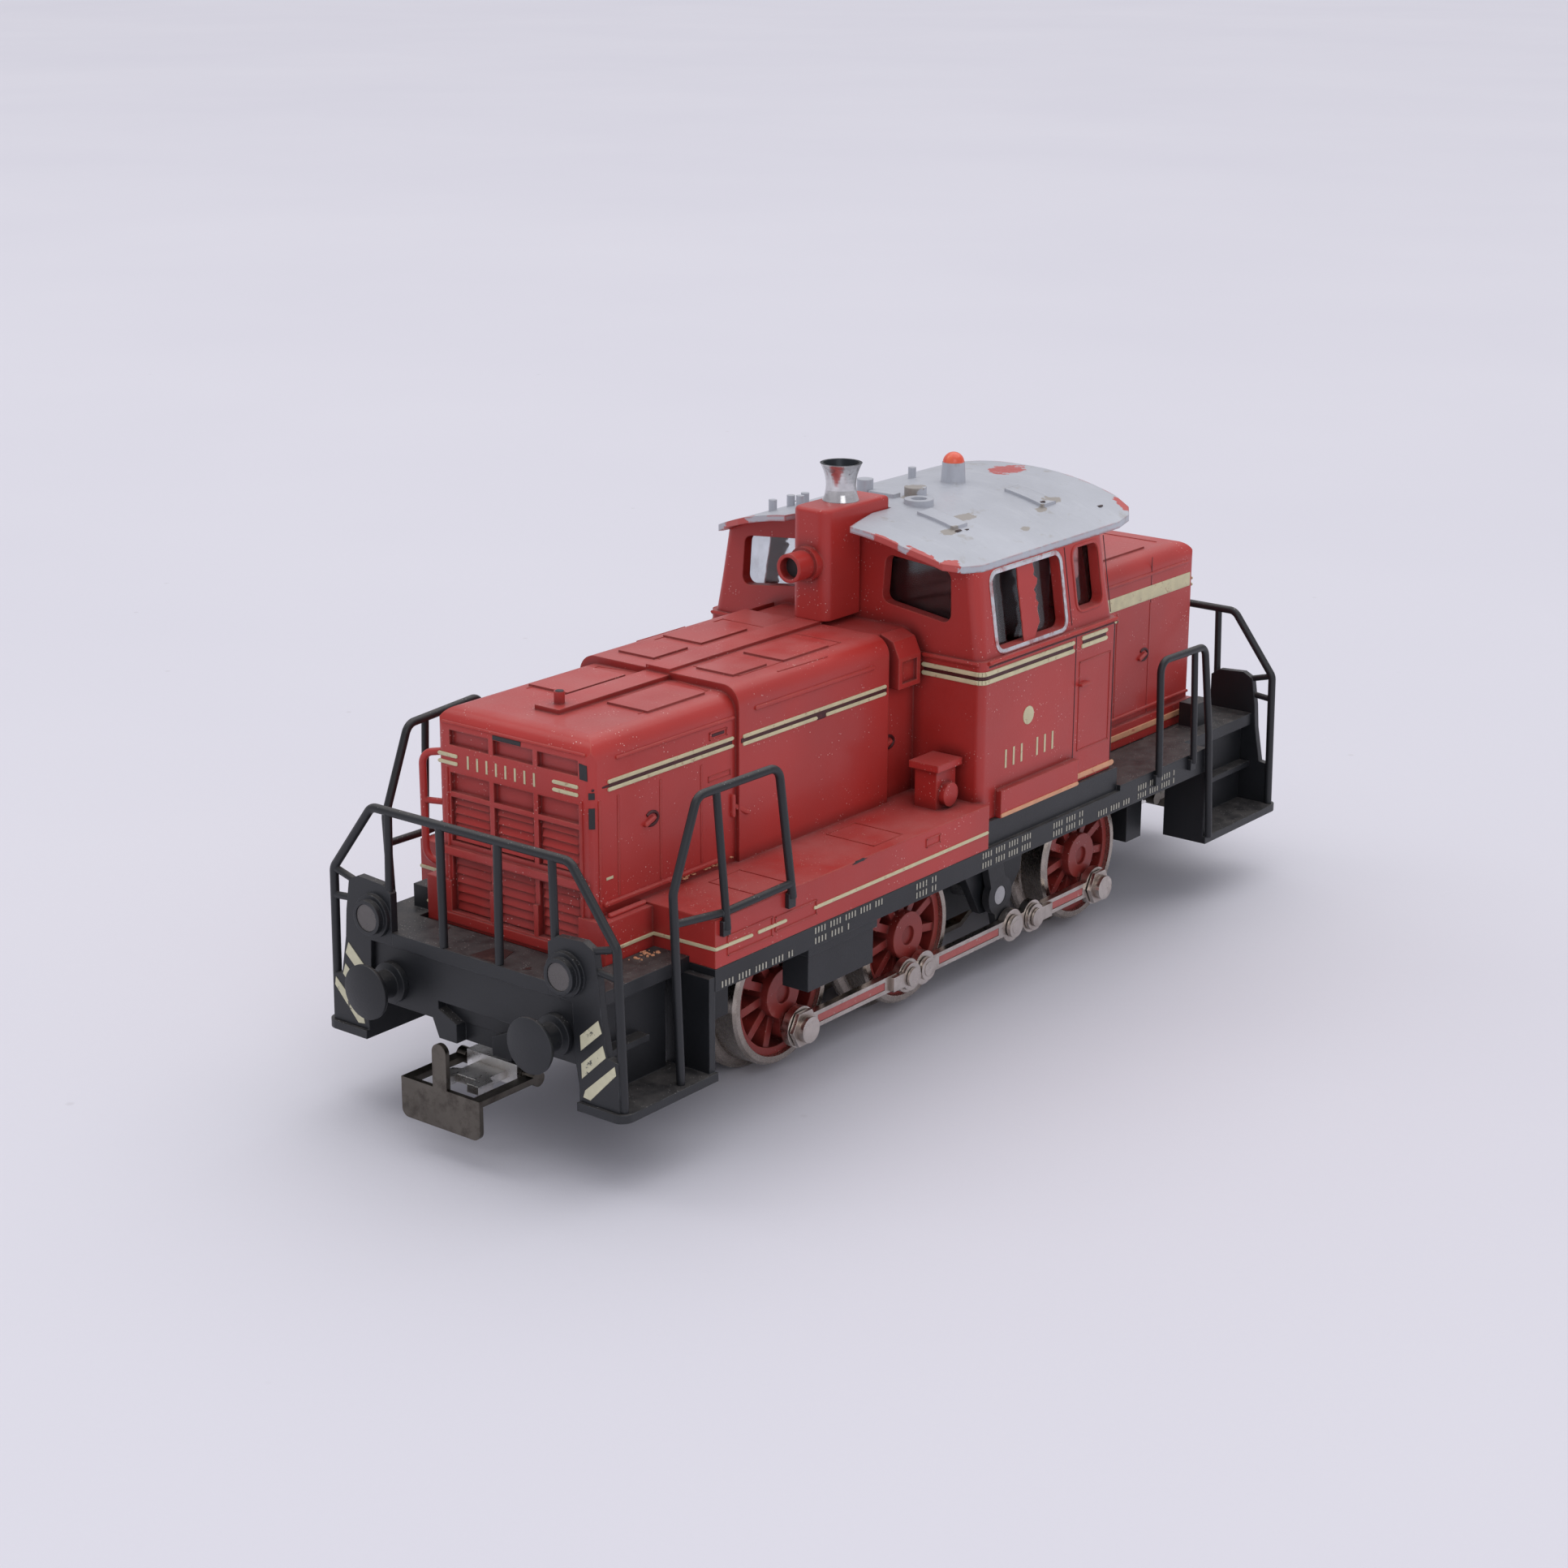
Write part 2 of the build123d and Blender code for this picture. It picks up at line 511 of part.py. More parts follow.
def underframe():
    """Black side sills, their deck and the brackets that hang between the wheels."""
    solid = block(REAR_STEP_X, FRONT_STEP_X, CHASSIS_HALF + 0.2, BOARD_HALF, *DECK_Z)
    solid += block(REAR_STEP_X, FRONT_STEP_X, SILL_IN, BOARD_HALF, SILL_Z, DECK_Z[1])
    solid += block(CAB_X[0] - 0.4, BOARD_X[0] - 0.1, 15.2, BOARD_HALF - 0.5, DECK_Z[1], CAB_BASE_Z - 0.05)
    solid += block(REAR_STEP_X, CAB_X[0] - 0.4, PLINTH_HALF + 0.1, BOARD_HALF, DECK_Z[1], PLATFORM_TOP)
    bracket = [
        (-3.0, DECK_Z[0]), (-5.2, 11.0), (-8.0, 6.4), (-12.2, 6.0), (-15.4, 9.4), (-16.4, DECK_Z[0]),
    ]
    solid += prism_y(bracket, 9.7, 10.7)
    solid += block(-14.6, -6.0, CHASSIS_HALF + 0.2, 9.7, 12.4, DECK_Z[0])
    solid -= bar_y(JACKSHAFT_X, WHEEL_Z, AXLE_R + RUN_FIT, 9, 12)
    sandbox = block(-37.6, -34.6, 8.9, 11.9, 7.5, DECK_Z[0]) + block(34.8, 37.8, 8.9, 11.9, 9.0, DECK_Z[0])
    hanger = block(14.4, 17.4, 9.4, 10.9, 8.6, DECK_Z[0])
    battery_box = block(20.2, 30.2, 14.7, 17.7, 11.1, DECK_Z[0])
    battery_box += block(19.9, 30.5, 14.6, 17.95, 14.7, DECK_Z[0])
    solid += sandbox + hanger + battery_box
    save(both_sides(solid), "underframe")


def end_frame(end, step_x, name):
    """Buffer beam, walkway platform and the two step wells of one end."""
    lo = abs(step_x)
    front = BEAM_FACE_X
    beam = front - BEAM_RECESS
    solid = block(lo, front, CHASSIS_HALF + 0.2, DECK_EDGE, DECK_Z[0], PLATFORM_TOP)
    solid += block(CHASSIS_X + 0.1, front, 0, DECK_EDGE, DECK_Z[0], PLATFORM_TOP)
    solid -= block(0, 51.6, -1, PLINTH_HALF + 0.15, DECK_Z[1] + 0.05, 30)
    solid += block(beam - 1.4, beam, 0, STEP_IN, 11.0, DECK_Z[0])
    solid -= block(beam - 1.0, beam + 1, 0, 4.4, 10, 12.8)
    solid += prism_x([(2.2, 11.0), (2.2, 9.2), (4.4, 9.2), (5.6, 12.0), (4.4, 12.0)], beam - 1.4, beam)
    solid += block(51.0, beam - 1.2, 0, 4.6, 9.2, 11.1)
    solid += bar_z(COUPLER_PIVOT_X, 0, 1.6, 7.9, DECK_Z[0])
    solid += block(CHASSIS_X + 0.1, 51.0, 0, 4.6, 9.2, DECK_Z[0])
    solid += block(lo, front + STEP_LIP, STEP_IN, STEP_OUT + STEP_LIP, *STEP_Z)
    corner_r = 1.2
    corner = (front + STEP_LIP - corner_r, STEP_OUT + STEP_LIP - corner_r)
    solid -= block(corner[0], front + 1, corner[1], 19, 0, 8) - bar_z(*corner, corner_r, 0, 8.5)
    solid += block(lo, lo + 0.8, STEP_IN, STEP_OUT, STEP_Z[1], DECK_Z[0])
    solid += block(lo + 1.8, front, STEP_IN, STEP_IN + 0.8, STEP_Z[1], DECK_Z[0])
    solid += block(lo + 5.5, front, STEP_IN + 0.8, DECK_EDGE, 11.9, 12.5)
    solid -= prism_x(SHIELD_OUTLINE, SHIELD_X[0], front + 1)
    solid = both_sides(solid)
    solid -= bar_z(COUPLER_PIVOT_X, 0, COUPLER_PIN_R, 5, 12)
    if end < 0:
        solid = mirror(solid, about=Plane.YZ)
    x0, x1, y0, y1, top_z = PLATFORM_BOX[end]
    save(solid + block(x0, x1, y0, y1, PLATFORM_TOP, top_z), name)


def end_railing(end, name):
    """Tubular railing with its posts, the two lamp shields and the striped corner plates."""
    x = RAILING_X
    r = 0.42
    top_z = 29.6
    knee = (x, 17.2, 22.8)
    solid = wire([(x, 0, top_z), (x, 12.0, top_z), knee, (x - 0.2, STEP_OUT - r, STEP_Z[1])], r)
    solid += wire([(x, 3.5, top_z), (x, 3.4, PLATFORM_TOP)], 0.4)
    solid += wire([(x, 9.9, top_z), (x, 10.1, 22.0)], 0.38)
    solid += prism_x(SHIELD_OUTLINE, *SHIELD_X)
    solid += wire([(x, 14.6, 22.1), knee], 0.34)
    solid += wire([(x, 15.1, 20.3), (x, 17.25, 20.1)], 0.34)
    face = SHIELD_X[1]
    ring = bar_x(LAMP_Y, LAMP_Z, 2.05, face, face + 0.5) + bar_x(LAMP_Y, LAMP_Z, 1.65, face, face + 1.1)
    ring -= bar_x(LAMP_Y, LAMP_Z, 1.3, face + 0.2, face + 2)
    solid += ring
    solid = both_sides(solid)
    if end < 0:
        solid = mirror(solid, about=Plane.YZ)
    save(solid, name)


def headlamp_lenses():
    lens = bar_x(LAMP_Y, LAMP_Z, 1.27, SHIELD_X[1] + 0.22, SHIELD_X[1] + 1.0)
    lens = both_sides(lens)
    save(lens + mirror(lens, about=Plane.YZ), "headlamp_lenses")


def corner_handrails():
    y = 18.55
    r = 0.4
    near = CORNER_RAIL_Y
    front = wire([
        (48.2, near, STEP_Z[1]), (49.1, near, 25.9), (45.8, near, 34.0),
        (35.4, y - 0.3, 34.3), (33.7, y, 21.6),
    ], r)
    front += wire([(33.9, y, 23.0), (43.0, 18.2, 22.7), (48.9, near, 23.1)], 0.36)
    front += wire([(43.4, near + 0.15, 34.05), (43.0, y, 21.2)], 0.36)
    front += block(33.2, 34.2, BOARD_HALF, y, 20.6, 22.0) + block(42.5, 43.5, BOARD_HALF, y, 20.6, 22.0)
    rear = wire([
        (REAR_STEP_X - r, y, STEP_Z[1]), (-40.0, y, 20.0), (-38.3, y, 30.2),
        (-29.2, y, 30.4), (-29.8, y, 17.6),
    ], r)
    rear += wire([(-36.2, y, 30.2), (-37.0, y, 17.4)], 0.36)
    rear += block(-30.3, -29.3, BOARD_HALF, y, 16.6, 17.8) + block(-37.5, -36.5, BOARD_HALF, y, 16.6, 17.8)
    save(both_sides(front + rear), "corner_handrails")


def buffers():
    head_r, dome_r, rings = 2.6, 9.57, 6
    root = BEAM_FACE_X - BEAM_RECESS
    outline = [
        (root, 0), (root, 1.95), (root + 0.6, 1.95), (root + 0.8, 1.35),
        (58.9, 1.35), (59.2, 2.5), (59.4, head_r),
    ]
    for i in range(rings):
        r = head_r * (1 - i / rings)
        outline.append((BUFFER_FACE_X - dome_r + math.sqrt(dome_r ** 2 - r ** 2), r))
    outline.append((BUFFER_FACE_X, 0))
    buffer = Pos(0, BUFFER_Y, BUFFER_Z) * revolve(make_face(Polyline(*outline, close=True)), Axis.X)
    solid = both_sides(buffer)
    save(solid + mirror(solid, about=Plane.YZ), "buffers")


# ---- couplers -----------------------------------------------------------------------------
def coupler(end, label):
    z0, z1 = COUPLER_Z
    head = bar_z(COUPLER_PIVOT_X, 0, 2.0, z0, z1)
    head += block(COUPLER_PIVOT_X, BAIL_HINGE_X + 1.0, -1.5, 1.5, z0, z1)
    head += block(BAIL_HINGE_X - 0.9, BAIL_HINGE_X + 1.0, -3.1, 3.1, 5.7, z1)
    hook = [(53.8, -1.7), (56.0, -1.7), (56.4, -2.5), (58.3, -2.5), (58.3, -1.1), (57.2, -1.1), (57.2, 1.1),
            (58.3, 1.1), (58.3, 2.5), (56.4, 2.5), (56.0, 1.7), (53.8, 1.7)]
    head += prism_z(hook, 6.15, 6.95)
    head -= bar_z(COUPLER_PIVOT_X, 0, COUPLER_PIN_R + RUN_FIT, 0, 10)
    head -= bar_y(BAIL_HINGE_X, BAIL_HINGE_Z, BAIL_PIN_R + RUN_FIT, -5, 5)

    plate_x = (COUPLER_FACE_X - BOW_T, COUPLER_FACE_X)
    plate_face = Plane.YZ.offset(plate_x[0]) * Pos(0, BOW_Z) * RectangleRounded(*BOW_SIZE, 0.8)
    plate = extrude(plate_face, amount=BOW_T)
    prong = block(*plate_x, -0.85, 0.85, 6.0, 10.3) + bar_x(0, 10.3, 0.85, *plate_x)
    bail = plate + prong
    for side in (1, -1):
        y0, y1 = span(side, 3.7, 4.8)
        bail += block(BAIL_HINGE_X - 0.6, plate_x[1], y0, y1, 6.3, 6.9)
        bail += bar_y(BAIL_HINGE_X, BAIL_HINGE_Z, 0.75, y0, y1)
    bail += bar_y(BAIL_HINGE_X, BAIL_HINGE_Z, BAIL_PIN_R, -4.0, 4.0)
    if end < 0:
        head = mirror(head, about=Plane.YZ)
        bail = mirror(bail, about=Plane.YZ)
    save(head, f"{label}_coupler_head")
    save(bail, f"{label}_coupler_bail")


def coupler_pivots():
    pin = bar_z(COUPLER_PIVOT_X, 0, 1.5, 5.6, 6.3) + bar_z(COUPLER_PIVOT_X, 0, COUPLER_PIN_R, 6.3, 12)
    save(pin + mirror(pin, about=Plane.YZ), "coupler_pivots")


# ---- body ---------------------------------------------------------------------------------
def hood_block(x0, x1, half, top_z, end=0):
    """Hood with round shoulders; its front (end 1) or rear (end -1) top edge and corners are round too."""
    middle = (HOOD_BASE_Z + top_z) / 2
    height = top_z - HOOD_BASE_Z
    section = Plane.YZ.offset(x0) * Pos(0, middle) * RectangleRounded(2 * half, height, SHOULDER_R)
    solid = extrude(section, amount=x1 - x0) + block(x0, x1, -half, half, HOOD_BASE_Z, middle)
    if end == 0:
        return solid
    spare = 2 * SHOULDER_R
    long_x = (x0 - spare, x1) if end > 0 else (x0, x1 + spare)
    length = long_x[1] - long_x[0]
    profile = Pos(sum(long_x) / 2, middle) * RectangleRounded(length, height, SHOULDER_R)
    side = extrude(Plane.XZ.offset(-half) * profile, amount=2 * half)
    side += block(*long_x, -half, half, HOOD_BASE_Z, middle)
    plan = Pos(sum(long_x) / 2, 0) * RectangleRounded(length, 2 * half, CORNER_R)
    return solid & side & extrude(Plane.XY.offset(HOOD_BASE_Z) * plan, amount=height)


def cab_upper(inset, end_inset, top_inset):
    """Leaning upper part of the cab, cut off by the underside of the roof arc."""
    rise = 13.0
    z0 = CAB_WAIST_Z
    low_half = CAB_WAIST_HALF - inset
    high_half = low_half - CAB_LEAN * rise
    x0, x1 = CAB_X[0] + 0.2 + end_inset, CAB_X[1] - 0.2 - end_inset
    sections = []
    for z, half, shrink in ((z0, low_half, 0), (z0 + rise, high_half, CAB_END_LEAN * rise)):
        length = x1 - x0 - 2 * shrink
        face = RectangleRounded(length, 2 * half, max(0.3, 1.0 - inset * 0.5))
        sections.append(Plane.XY.offset(z) * Pos((x0 + x1) / 2, 0) * face)
    solid = loft(sections)
    arc = bar_x(0, ROOF_CROWN_Z - ROOF_R, ROOF_R - ROOF_T - top_inset, -60, 30)
    return solid & arc


def window_cutters():
    cuts = None
    for x, z, width, height in (SIDE_WINDOW, DOOR_WINDOW):
        opening = Pos(x, z) * RectangleRounded(width, height, WINDOW_R)
        cut = extrude(Plane.XZ.offset(-30) * opening, amount=60)
        cuts = cut if cuts is None else cuts + cut
    opening = make_face(Polyline(*END_WINDOW, close=True))
    opening = fillet(opening.vertices(), WINDOW_R)
    end_window = extrude(Plane.YZ.offset(-40) * opening, amount=60)
    return cuts + both_sides(end_window)


def slat_outline(back, z0, z1, slats):
    """Saw-tooth profile of a row of pressed louvres; each one hangs out over the one below."""
    pitch = (z1 - z0) / slats
    outline = [(back - 0.2, z1), (back - 0.2, z0)]
    for i in range(slats):
        low = z0 + i * pitch
        outline += [(back, low + 0.02), (back + 0.26, low + 0.14)]
    return outline + [(back, z1)]


def grille():
    """Recessed panels and louvres to cut from and add to the front face of the long hood."""
    cut = None
    add = None
    x = HOOD_FRONT_X
    back = x - 0.45
    columns = ((-7.75, -2.95), (-2.4, 2.4), (2.95, 7.75))
    rows = ((34.9, 36.3, 0), (30.5, 32.3, 0), (25.8, 30.0, 5), (19.1, 24.3, 6))
    for y0, y1 in columns:
        for z0, z1, slats in rows:
            pocket = block(back, x + 1, y0, y1, z0, z1)
            cut = pocket if cut is None else cut + pocket
            if slats:
                comb = prism_y(slat_outline(back, z0, z1, slats), y0 + 0.25, y1 - 0.25)
                add = comb if add is None else add + comb
    ledge = block(x - 0.2, x + 0.45, -8.9, 8.9, 24.55, 25.3)
    sill = block(x - 0.2, x + 0.4, -9.1, 9.1, 18.0, 18.9)
    return cut, add + ledge + sill


def body_shell():
    x_front = HOOD_FRONT_X
    outer = hood_block(HOOD_STEP_X, x_front, HOOD_HALF, HOOD_TOP_Z, 1)
    outer += hood_block(HOOD_NECK_X, HOOD_STEP_X, HOOD_STEP_HALF, HOOD_STEP_TOP_Z)
    outer += hood_block(CAB_X[1] - 1, HOOD_NECK_X, HOOD_NECK_HALF, HOOD_STEP_TOP_Z - 0.3)
    outer += hood_block(HOOD_REAR_X, CAB_X[0] + 1, HOOD_HALF, HOOD_TOP_Z, -1)
    outer += block(BOARD_X[0] - 1, x_front + 0.3, -PLINTH_HALF, PLINTH_HALF, HOOD_BASE_Z, PLINTH_TOP_Z)
    outer += block(HOOD_REAR_X, CAB_X[0] + 1, -HOOD_HALF - 0.45, HOOD_HALF + 0.45, HOOD_BASE_Z, 20.2)
    outer += block(*BOARD_X, -BOARD_HALF, BOARD_HALF, *BOARD_Z)
    cab_plan = Pos(sum(CAB_X) / 2, 0) * RectangleRounded(CAB_X[1] - CAB_X[0], 2 * CAB_LOW_HALF, CAB_CORNER_R)
    outer += extrude(Plane.XY.offset(CAB_BASE_Z) * cab_plan, amount=CAB_WAIST_Z - CAB_BASE_Z)
    outer += both_sides(block(*FOOT_X, 15.0, BOARD_HALF - 0.15, CAB_BASE_Z, FOOT_TOP_Z))
    outer += cab_upper(0, 0, 0)

    inner = block(HOOD_REAR_X + WALL, x_front - WALL, -TUNNEL_HALF, TUNNEL_HALF, 0, 36.6)
    board_in = BOARD_HALF - WALL
    cab_in = CAB_LOW_HALF - WALL
    inner += block(BOARD_X[0] - 3, BOARD_X[1] - WALL, -board_in, board_in, 0, BOARD_Z[1] - WALL)
    inner += block(CAB_X[0] + WALL, CAB_X[1] - WALL, -cab_in, cab_in, 0, CAB_WAIST_Z)
    inner += block(FOOT_X[0] + 1, FOOT_X[1] - 1, -cab_in, cab_in, 0, CAB_BASE_Z + 1)
    inner += cab_upper(WALL, WALL, 0)
    shell = outer - inner
    shell -= window_cutters()
    shell -= block(-6, CAB_X[1] + 1, -2.35, 2.35, 47.2, 55)

    # ribs, ridge, hatches and panels of the long hood
    ridge = block(HOOD_NECK_X, 45.7, -1.45, 1.45, HOOD_TOP_Z - 0.3, HOOD_TOP_Z + 0.45)
    ridge += block(HOOD_NECK_X, HOOD_STEP_X, -1.45, 1.45, HOOD_STEP_TOP_Z - 0.3, HOOD_STEP_TOP_Z + 0.3)
    shell += ridge + bar_z(44.0, 0, 0.5, HOOD_TOP_Z, HOOD_TOP_Z + 1.6)
    hatch = block(32.3, 40.3, 2.4, 7.2, HOOD_TOP_Z - 0.3, HOOD_TOP_Z + 0.2)
    hatch += block(14.0, 21.0, 2.6, 7.4, HOOD_STEP_TOP_Z - 0.3, HOOD_STEP_TOP_Z + 0.2)
    hatch += block(23.0, 28.0, 2.6, 7.0, HOOD_STEP_TOP_Z - 0.3, HOOD_STEP_TOP_Z + 0.2)
    hatch += block(-44.0, -34.0, 2.2, 7.0, HOOD_TOP_Z - 0.3, HOOD_TOP_Z + 0.2)
    vent = prism_x([(8.0, 33.6), (10.35, 33.6), (10.35, 36.7), (9.6, 38.3), (8.0, 38.9)], 2.9, 6.5)
    vent -= block(3.5, 5.9, 10.0, 11, 34.1, 36.3)
    shell += both_sides(hatch + vent + sand_filler())
    cut, add = grille()
    shell = shell - cut + add
    save(shell, "body_shell")


def cab_roof():
    """Arched roof plate with a notch for the exhaust, its fittings and the beacon's foot."""
    outline = list(ROOF_OUTLINE) + [(x, -y) for x, y in reversed(ROOF_OUTLINE[1:-1])]
    centre_z = ROOF_CROWN_Z - ROOF_R
    plate = bar_x(0, centre_z, ROOF_R, -60, 30) - bar_x(0, centre_z, ROOF_R - ROOF_T, -61, 31)
    roof = plate & prism_z(outline, 40, 55)
    roof -= prism_z(list(ROOF_NOTCH) + [(x, -y) for x, y in reversed(ROOF_NOTCH)], 40, 60)
    roof += Pos(BEACON_X, 0, 0) * extrude(Plane.XY.offset(49.0) * Circle(BEACON_R), amount=2.3, taper=3)
    for x0, x1, y0, y1 in ROOF_LIDS:
        lid = bar_x(0, centre_z, ROOF_R + 0.3, x0, x1) - bar_x(0, centre_z, ROOF_R - 0.3, x0 - 1, x1 + 1)
        roof += lid & block(x0, x1, y0, y1, 40, 55)
    vent = bar_z(-6.2, 3.3, 1.5, 48.3, 49.6) - bar_z(-6.2, 3.3, 0.8, 49.3, 50)
    roof += vent + bar_z(-8.8, 1.0, 1.15, 48.4, 50.1)
    roof += bar_z(-6.8, -3.9, 0.85, 48.3, 50.6) + block(-7.3, -6.1, -3.0, 0.2, 48.6, 49.6)
    for x, y in ROOF_SPIKES:
        roof += bar_z(x, y, 0.42, roof_height(y) - 0.5, roof_height(y) + 1.15)
    save(roof, "cab_roof")


def roof_height(y):
    return ROOF_CROWN_Z - ROOF_R + math.sqrt(ROOF_R ** 2 - y ** 2)


def beacon_cap():
    base_z = 51.3
    dome = Pos(BEACON_X, 0, base_z - 0.1) * Sphere(BEACON_R - 0.16)
    save(dome & block(-19, -14, -3, 3, base_z, 53), "beacon_cap")


def window_insert():
    glass = cab_upper(WALL + 0.06, WALL + 0.06, 0.1) - cab_upper(WALL + 0.66, WALL + 0.66, -3)
    glass &= block(-30, 10, -20, 20, CAB_WAIST_Z + 0.2, 46.6)
    save(glass, "window_insert")


def exhaust_housing():
    """Red box that carries the exhaust up the cab front, with a lamp tube on its face."""
    top = 50.45
    low = block(CAB_X[1] + 0.05, 7.7, -2.2, 2.2, HOOD_STEP_TOP_Z + 0.32, top)
    high = block(-2.5, 7.7, -2.2, 2.2, 48.35, top)
    solid = low + high
    solid = fillet(solid.edges().filter_by(Axis.Z).group_by(Axis.X)[-1], 1.1)
    solid = fillet(solid.faces().sort_by(Axis.Z)[-1].edges(), 0.45)
    lamp_z = 45.0
    solid += bar_x(0, lamp_z, 1.45, 7.2, 10.8) + bar_x(0, lamp_z, 1.75, 7.2, 8.5)
    solid -= bar_x(0, lamp_z, 1.1, 9.8, 12)
    save(solid, "exhaust_housing")


def chimney():
    """Flared exhaust pipe, turned from brass and plated."""
    z0, z1 = 50.45, 54.2
    foot, waist, rim = CHIMNEY_R
    waist_at = 0.4
    outer = []
    steps = 10
    for i in range(steps + 1):
        t = i / steps
        if t < waist_at:
            r = waist + (foot - waist) * ((waist_at - t) / waist_at) ** 2
        else:
            r = waist + (rim - waist) * ((t - waist_at) / (1 - waist_at)) ** 2
        outer.append((r, z0 + (z1 - z0) * t))
    inner = [(rim - 0.3, z1), (waist - 0.25, z1 - 1.3), (waist - 0.3, z0 + 0.6), (0, z0 + 0.6)]
    profile = [(0, z0)] + outer + inner
    face = Plane.XZ * make_face(Polyline(*profile, close=True))
    save(Pos(CHIMNEY_X, 0, 0) * revolve(face, Axis.Z), "chimney")


def hood_grab_rail():
    """Red grab rail at the right front corner of the long hood."""
    x, r = 50.0, 0.35
    inner = HOOD_HALF - 1
    rail = wire([(x - 0.7, inner, 34.0), (x, 11.5, 33.4), (x, 11.4, 23.3), (x - 0.7, inner, 22.9)], r)
    rail += wire([(x - 0.8, inner, 29.0), (x, 11.4, 28.9)], 0.3)
    rail &= block(40, 60, HOOD_HALF + 0.02, 13, PLINTH_TOP_Z + 0.02, 40)
    save(mirror(rail, about=Plane.XZ), "hood_grab_rail")


def sand_filler():
    """Small lidded filler that stands on a running board in front of the cab."""
    solid = block(3.2, 6.4, 12.4, 15.0, BOARD_Z[1] - 0.3, 26.2) + block(2.8, 6.9, 12.0, 15.5, 26.2, 26.9)
    return solid + bar_y(4.9, 23.6, 1.2, 14.9, 15.7)


# ---- electrics ----------------------------------------------------------------------------
def relay():
    """Reversing relay: iron frame, coil and a lever on two hinge ears."""
    z0 = CHASSIS_Z[1]
    hx, hz = RELAY_HINGE
    hinge_r = 0.6
    frame = block(13.0, 33.0, -6.0, 6.0, z0, z0 + 0.9) + block(13.0, 14.2, -5.0, 5.0, z0, 29.0)
    frame += bar_x(0, RELAY_Z, 1.4, 14.2, 29.6)
    ears = block(29.9, 33.0, 3.6, 4.6, z0, 21.5)
    ears -= bar_y(hx, hz, hinge_r + RUN_FIT, 0, 6)
    save(frame + both_sides(ears), "relay_frame")
    coil = bar_x(0, RELAY_Z, 4.2, 14.9, 28.5)
    for x0, x1 in ((14.25, 14.9), (28.5, 29.1)):
        coil += bar_x(0, RELAY_Z, 5.0, x0, x1)
    save(coil - bar_x(0, RELAY_Z, 1.4, 10, 35), "relay_coil")
    lever = block(30.6, 31.4, -3.2, 3.2, hz, 30.5) + bar_y(hx, hz, hinge_r, -4.9, 4.9)
    lever += bar_y(hx, hz, 1.0, -3.3, 3.3)
    save(lever, "relay_lever")


def bulbs():
    bulb = bar_x(0, 24.0, 1.3, 47.5, 48.3) + bar_x(0, 24.0, 0.9, 46.4, 47.5)
    save(bulb + mirror(bulb, about=Plane.YZ), "bulbs")


def pickup():
    """Insulating plate under the chassis and the sprung shoe that slides up and down on two posts."""
    plate = block(-18.0, 18.0, -3.4, 3.4, 3.75, CHASSIS_Z[0])
    for post_x in SHOE_POST_X:
        plate -= bar_z(post_x, 0, SHOE_POST_R + 0.08, 3, 5)
    save(plate, "pickup_plate")
    half = [(16.5, 0.7), (21.0, 3.1), (21.0, 3.6), (20.7, 3.6), (16.3, 1.25)]
    shoe = prism_y(half + [(-x, z) for x, z in reversed(half)], -2.6, 2.6)
    for post_x in SHOE_POST_X:
        shoe += bar_z(post_x, 0, SHOE_POST_R, 1.2, 5.4)
    save(shoe, "pickup_shoe")


# ---- build --------------------------------------------------------------------------------
wheelset("front", FRONT_AXLE_X, True)
wheelset("middle", MIDDLE_AXLE_X, False)
wheelset("rear", REAR_AXLE_X, True)
jackshaft()
rods(1)
rods(-1)
gear_train()
armature()
motor_fixed()
chassis_frame()
chassis_screws()
underframe()
end_frame(1, FRONT_STEP_X, "front_end_frame")
end_frame(-1, REAR_STEP_X, "rear_end_frame")
end_railing(1, "front_railing")
end_railing(-1, "rear_railing")
headlamp_lenses()
corner_handrails()
buffers()
coupler(1, "front")
coupler(-1, "rear")
coupler_pivots()
body_shell()
cab_roof()
beacon_cap()
window_insert()
exhaust_housing()
chimney()
hood_grab_rail()
relay()
bulbs()
pickup()
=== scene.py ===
import json
import math
import random

import bmesh
import bpy
from mathutils import Matrix, Vector


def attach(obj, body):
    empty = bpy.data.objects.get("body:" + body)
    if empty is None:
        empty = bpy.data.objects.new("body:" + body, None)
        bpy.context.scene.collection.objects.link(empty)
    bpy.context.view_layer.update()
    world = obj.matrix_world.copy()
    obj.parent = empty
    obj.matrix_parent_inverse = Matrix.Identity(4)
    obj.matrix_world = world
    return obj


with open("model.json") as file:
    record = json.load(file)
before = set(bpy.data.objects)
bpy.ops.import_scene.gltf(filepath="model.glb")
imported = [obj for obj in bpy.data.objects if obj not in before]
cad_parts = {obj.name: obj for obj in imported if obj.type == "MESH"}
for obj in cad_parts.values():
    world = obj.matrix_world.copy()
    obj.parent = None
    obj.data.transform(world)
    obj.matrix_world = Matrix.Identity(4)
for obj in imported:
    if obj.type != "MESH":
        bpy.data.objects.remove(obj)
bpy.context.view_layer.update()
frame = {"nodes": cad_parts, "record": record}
rng = random.Random(7)
MM = 0.001


# ---- camera -------------------------------------------------------------------------------
# solved from the photo: the camera's three directions, its place in metres, its lens in mm
CAMERA_RIGHT = (-0.61824, 0.78598, 0.0041)
CAMERA_UP = (-0.23388, -0.18894, 0.95373)
CAMERA_BACK = (0.75039, 0.58868, 0.30063)
CAMERA_PLACE = (0.23211, 0.17317, 0.1116)
CAMERA_LENS, CAMERA_SENSOR = 67.937, 36


def look(right, up, back, position):
    """World matrix of a camera from its directions and its place."""
    rows = [[right[i], up[i], back[i], position[i]] for i in range(3)]
    return Matrix(rows + [[0, 0, 0, 1]])


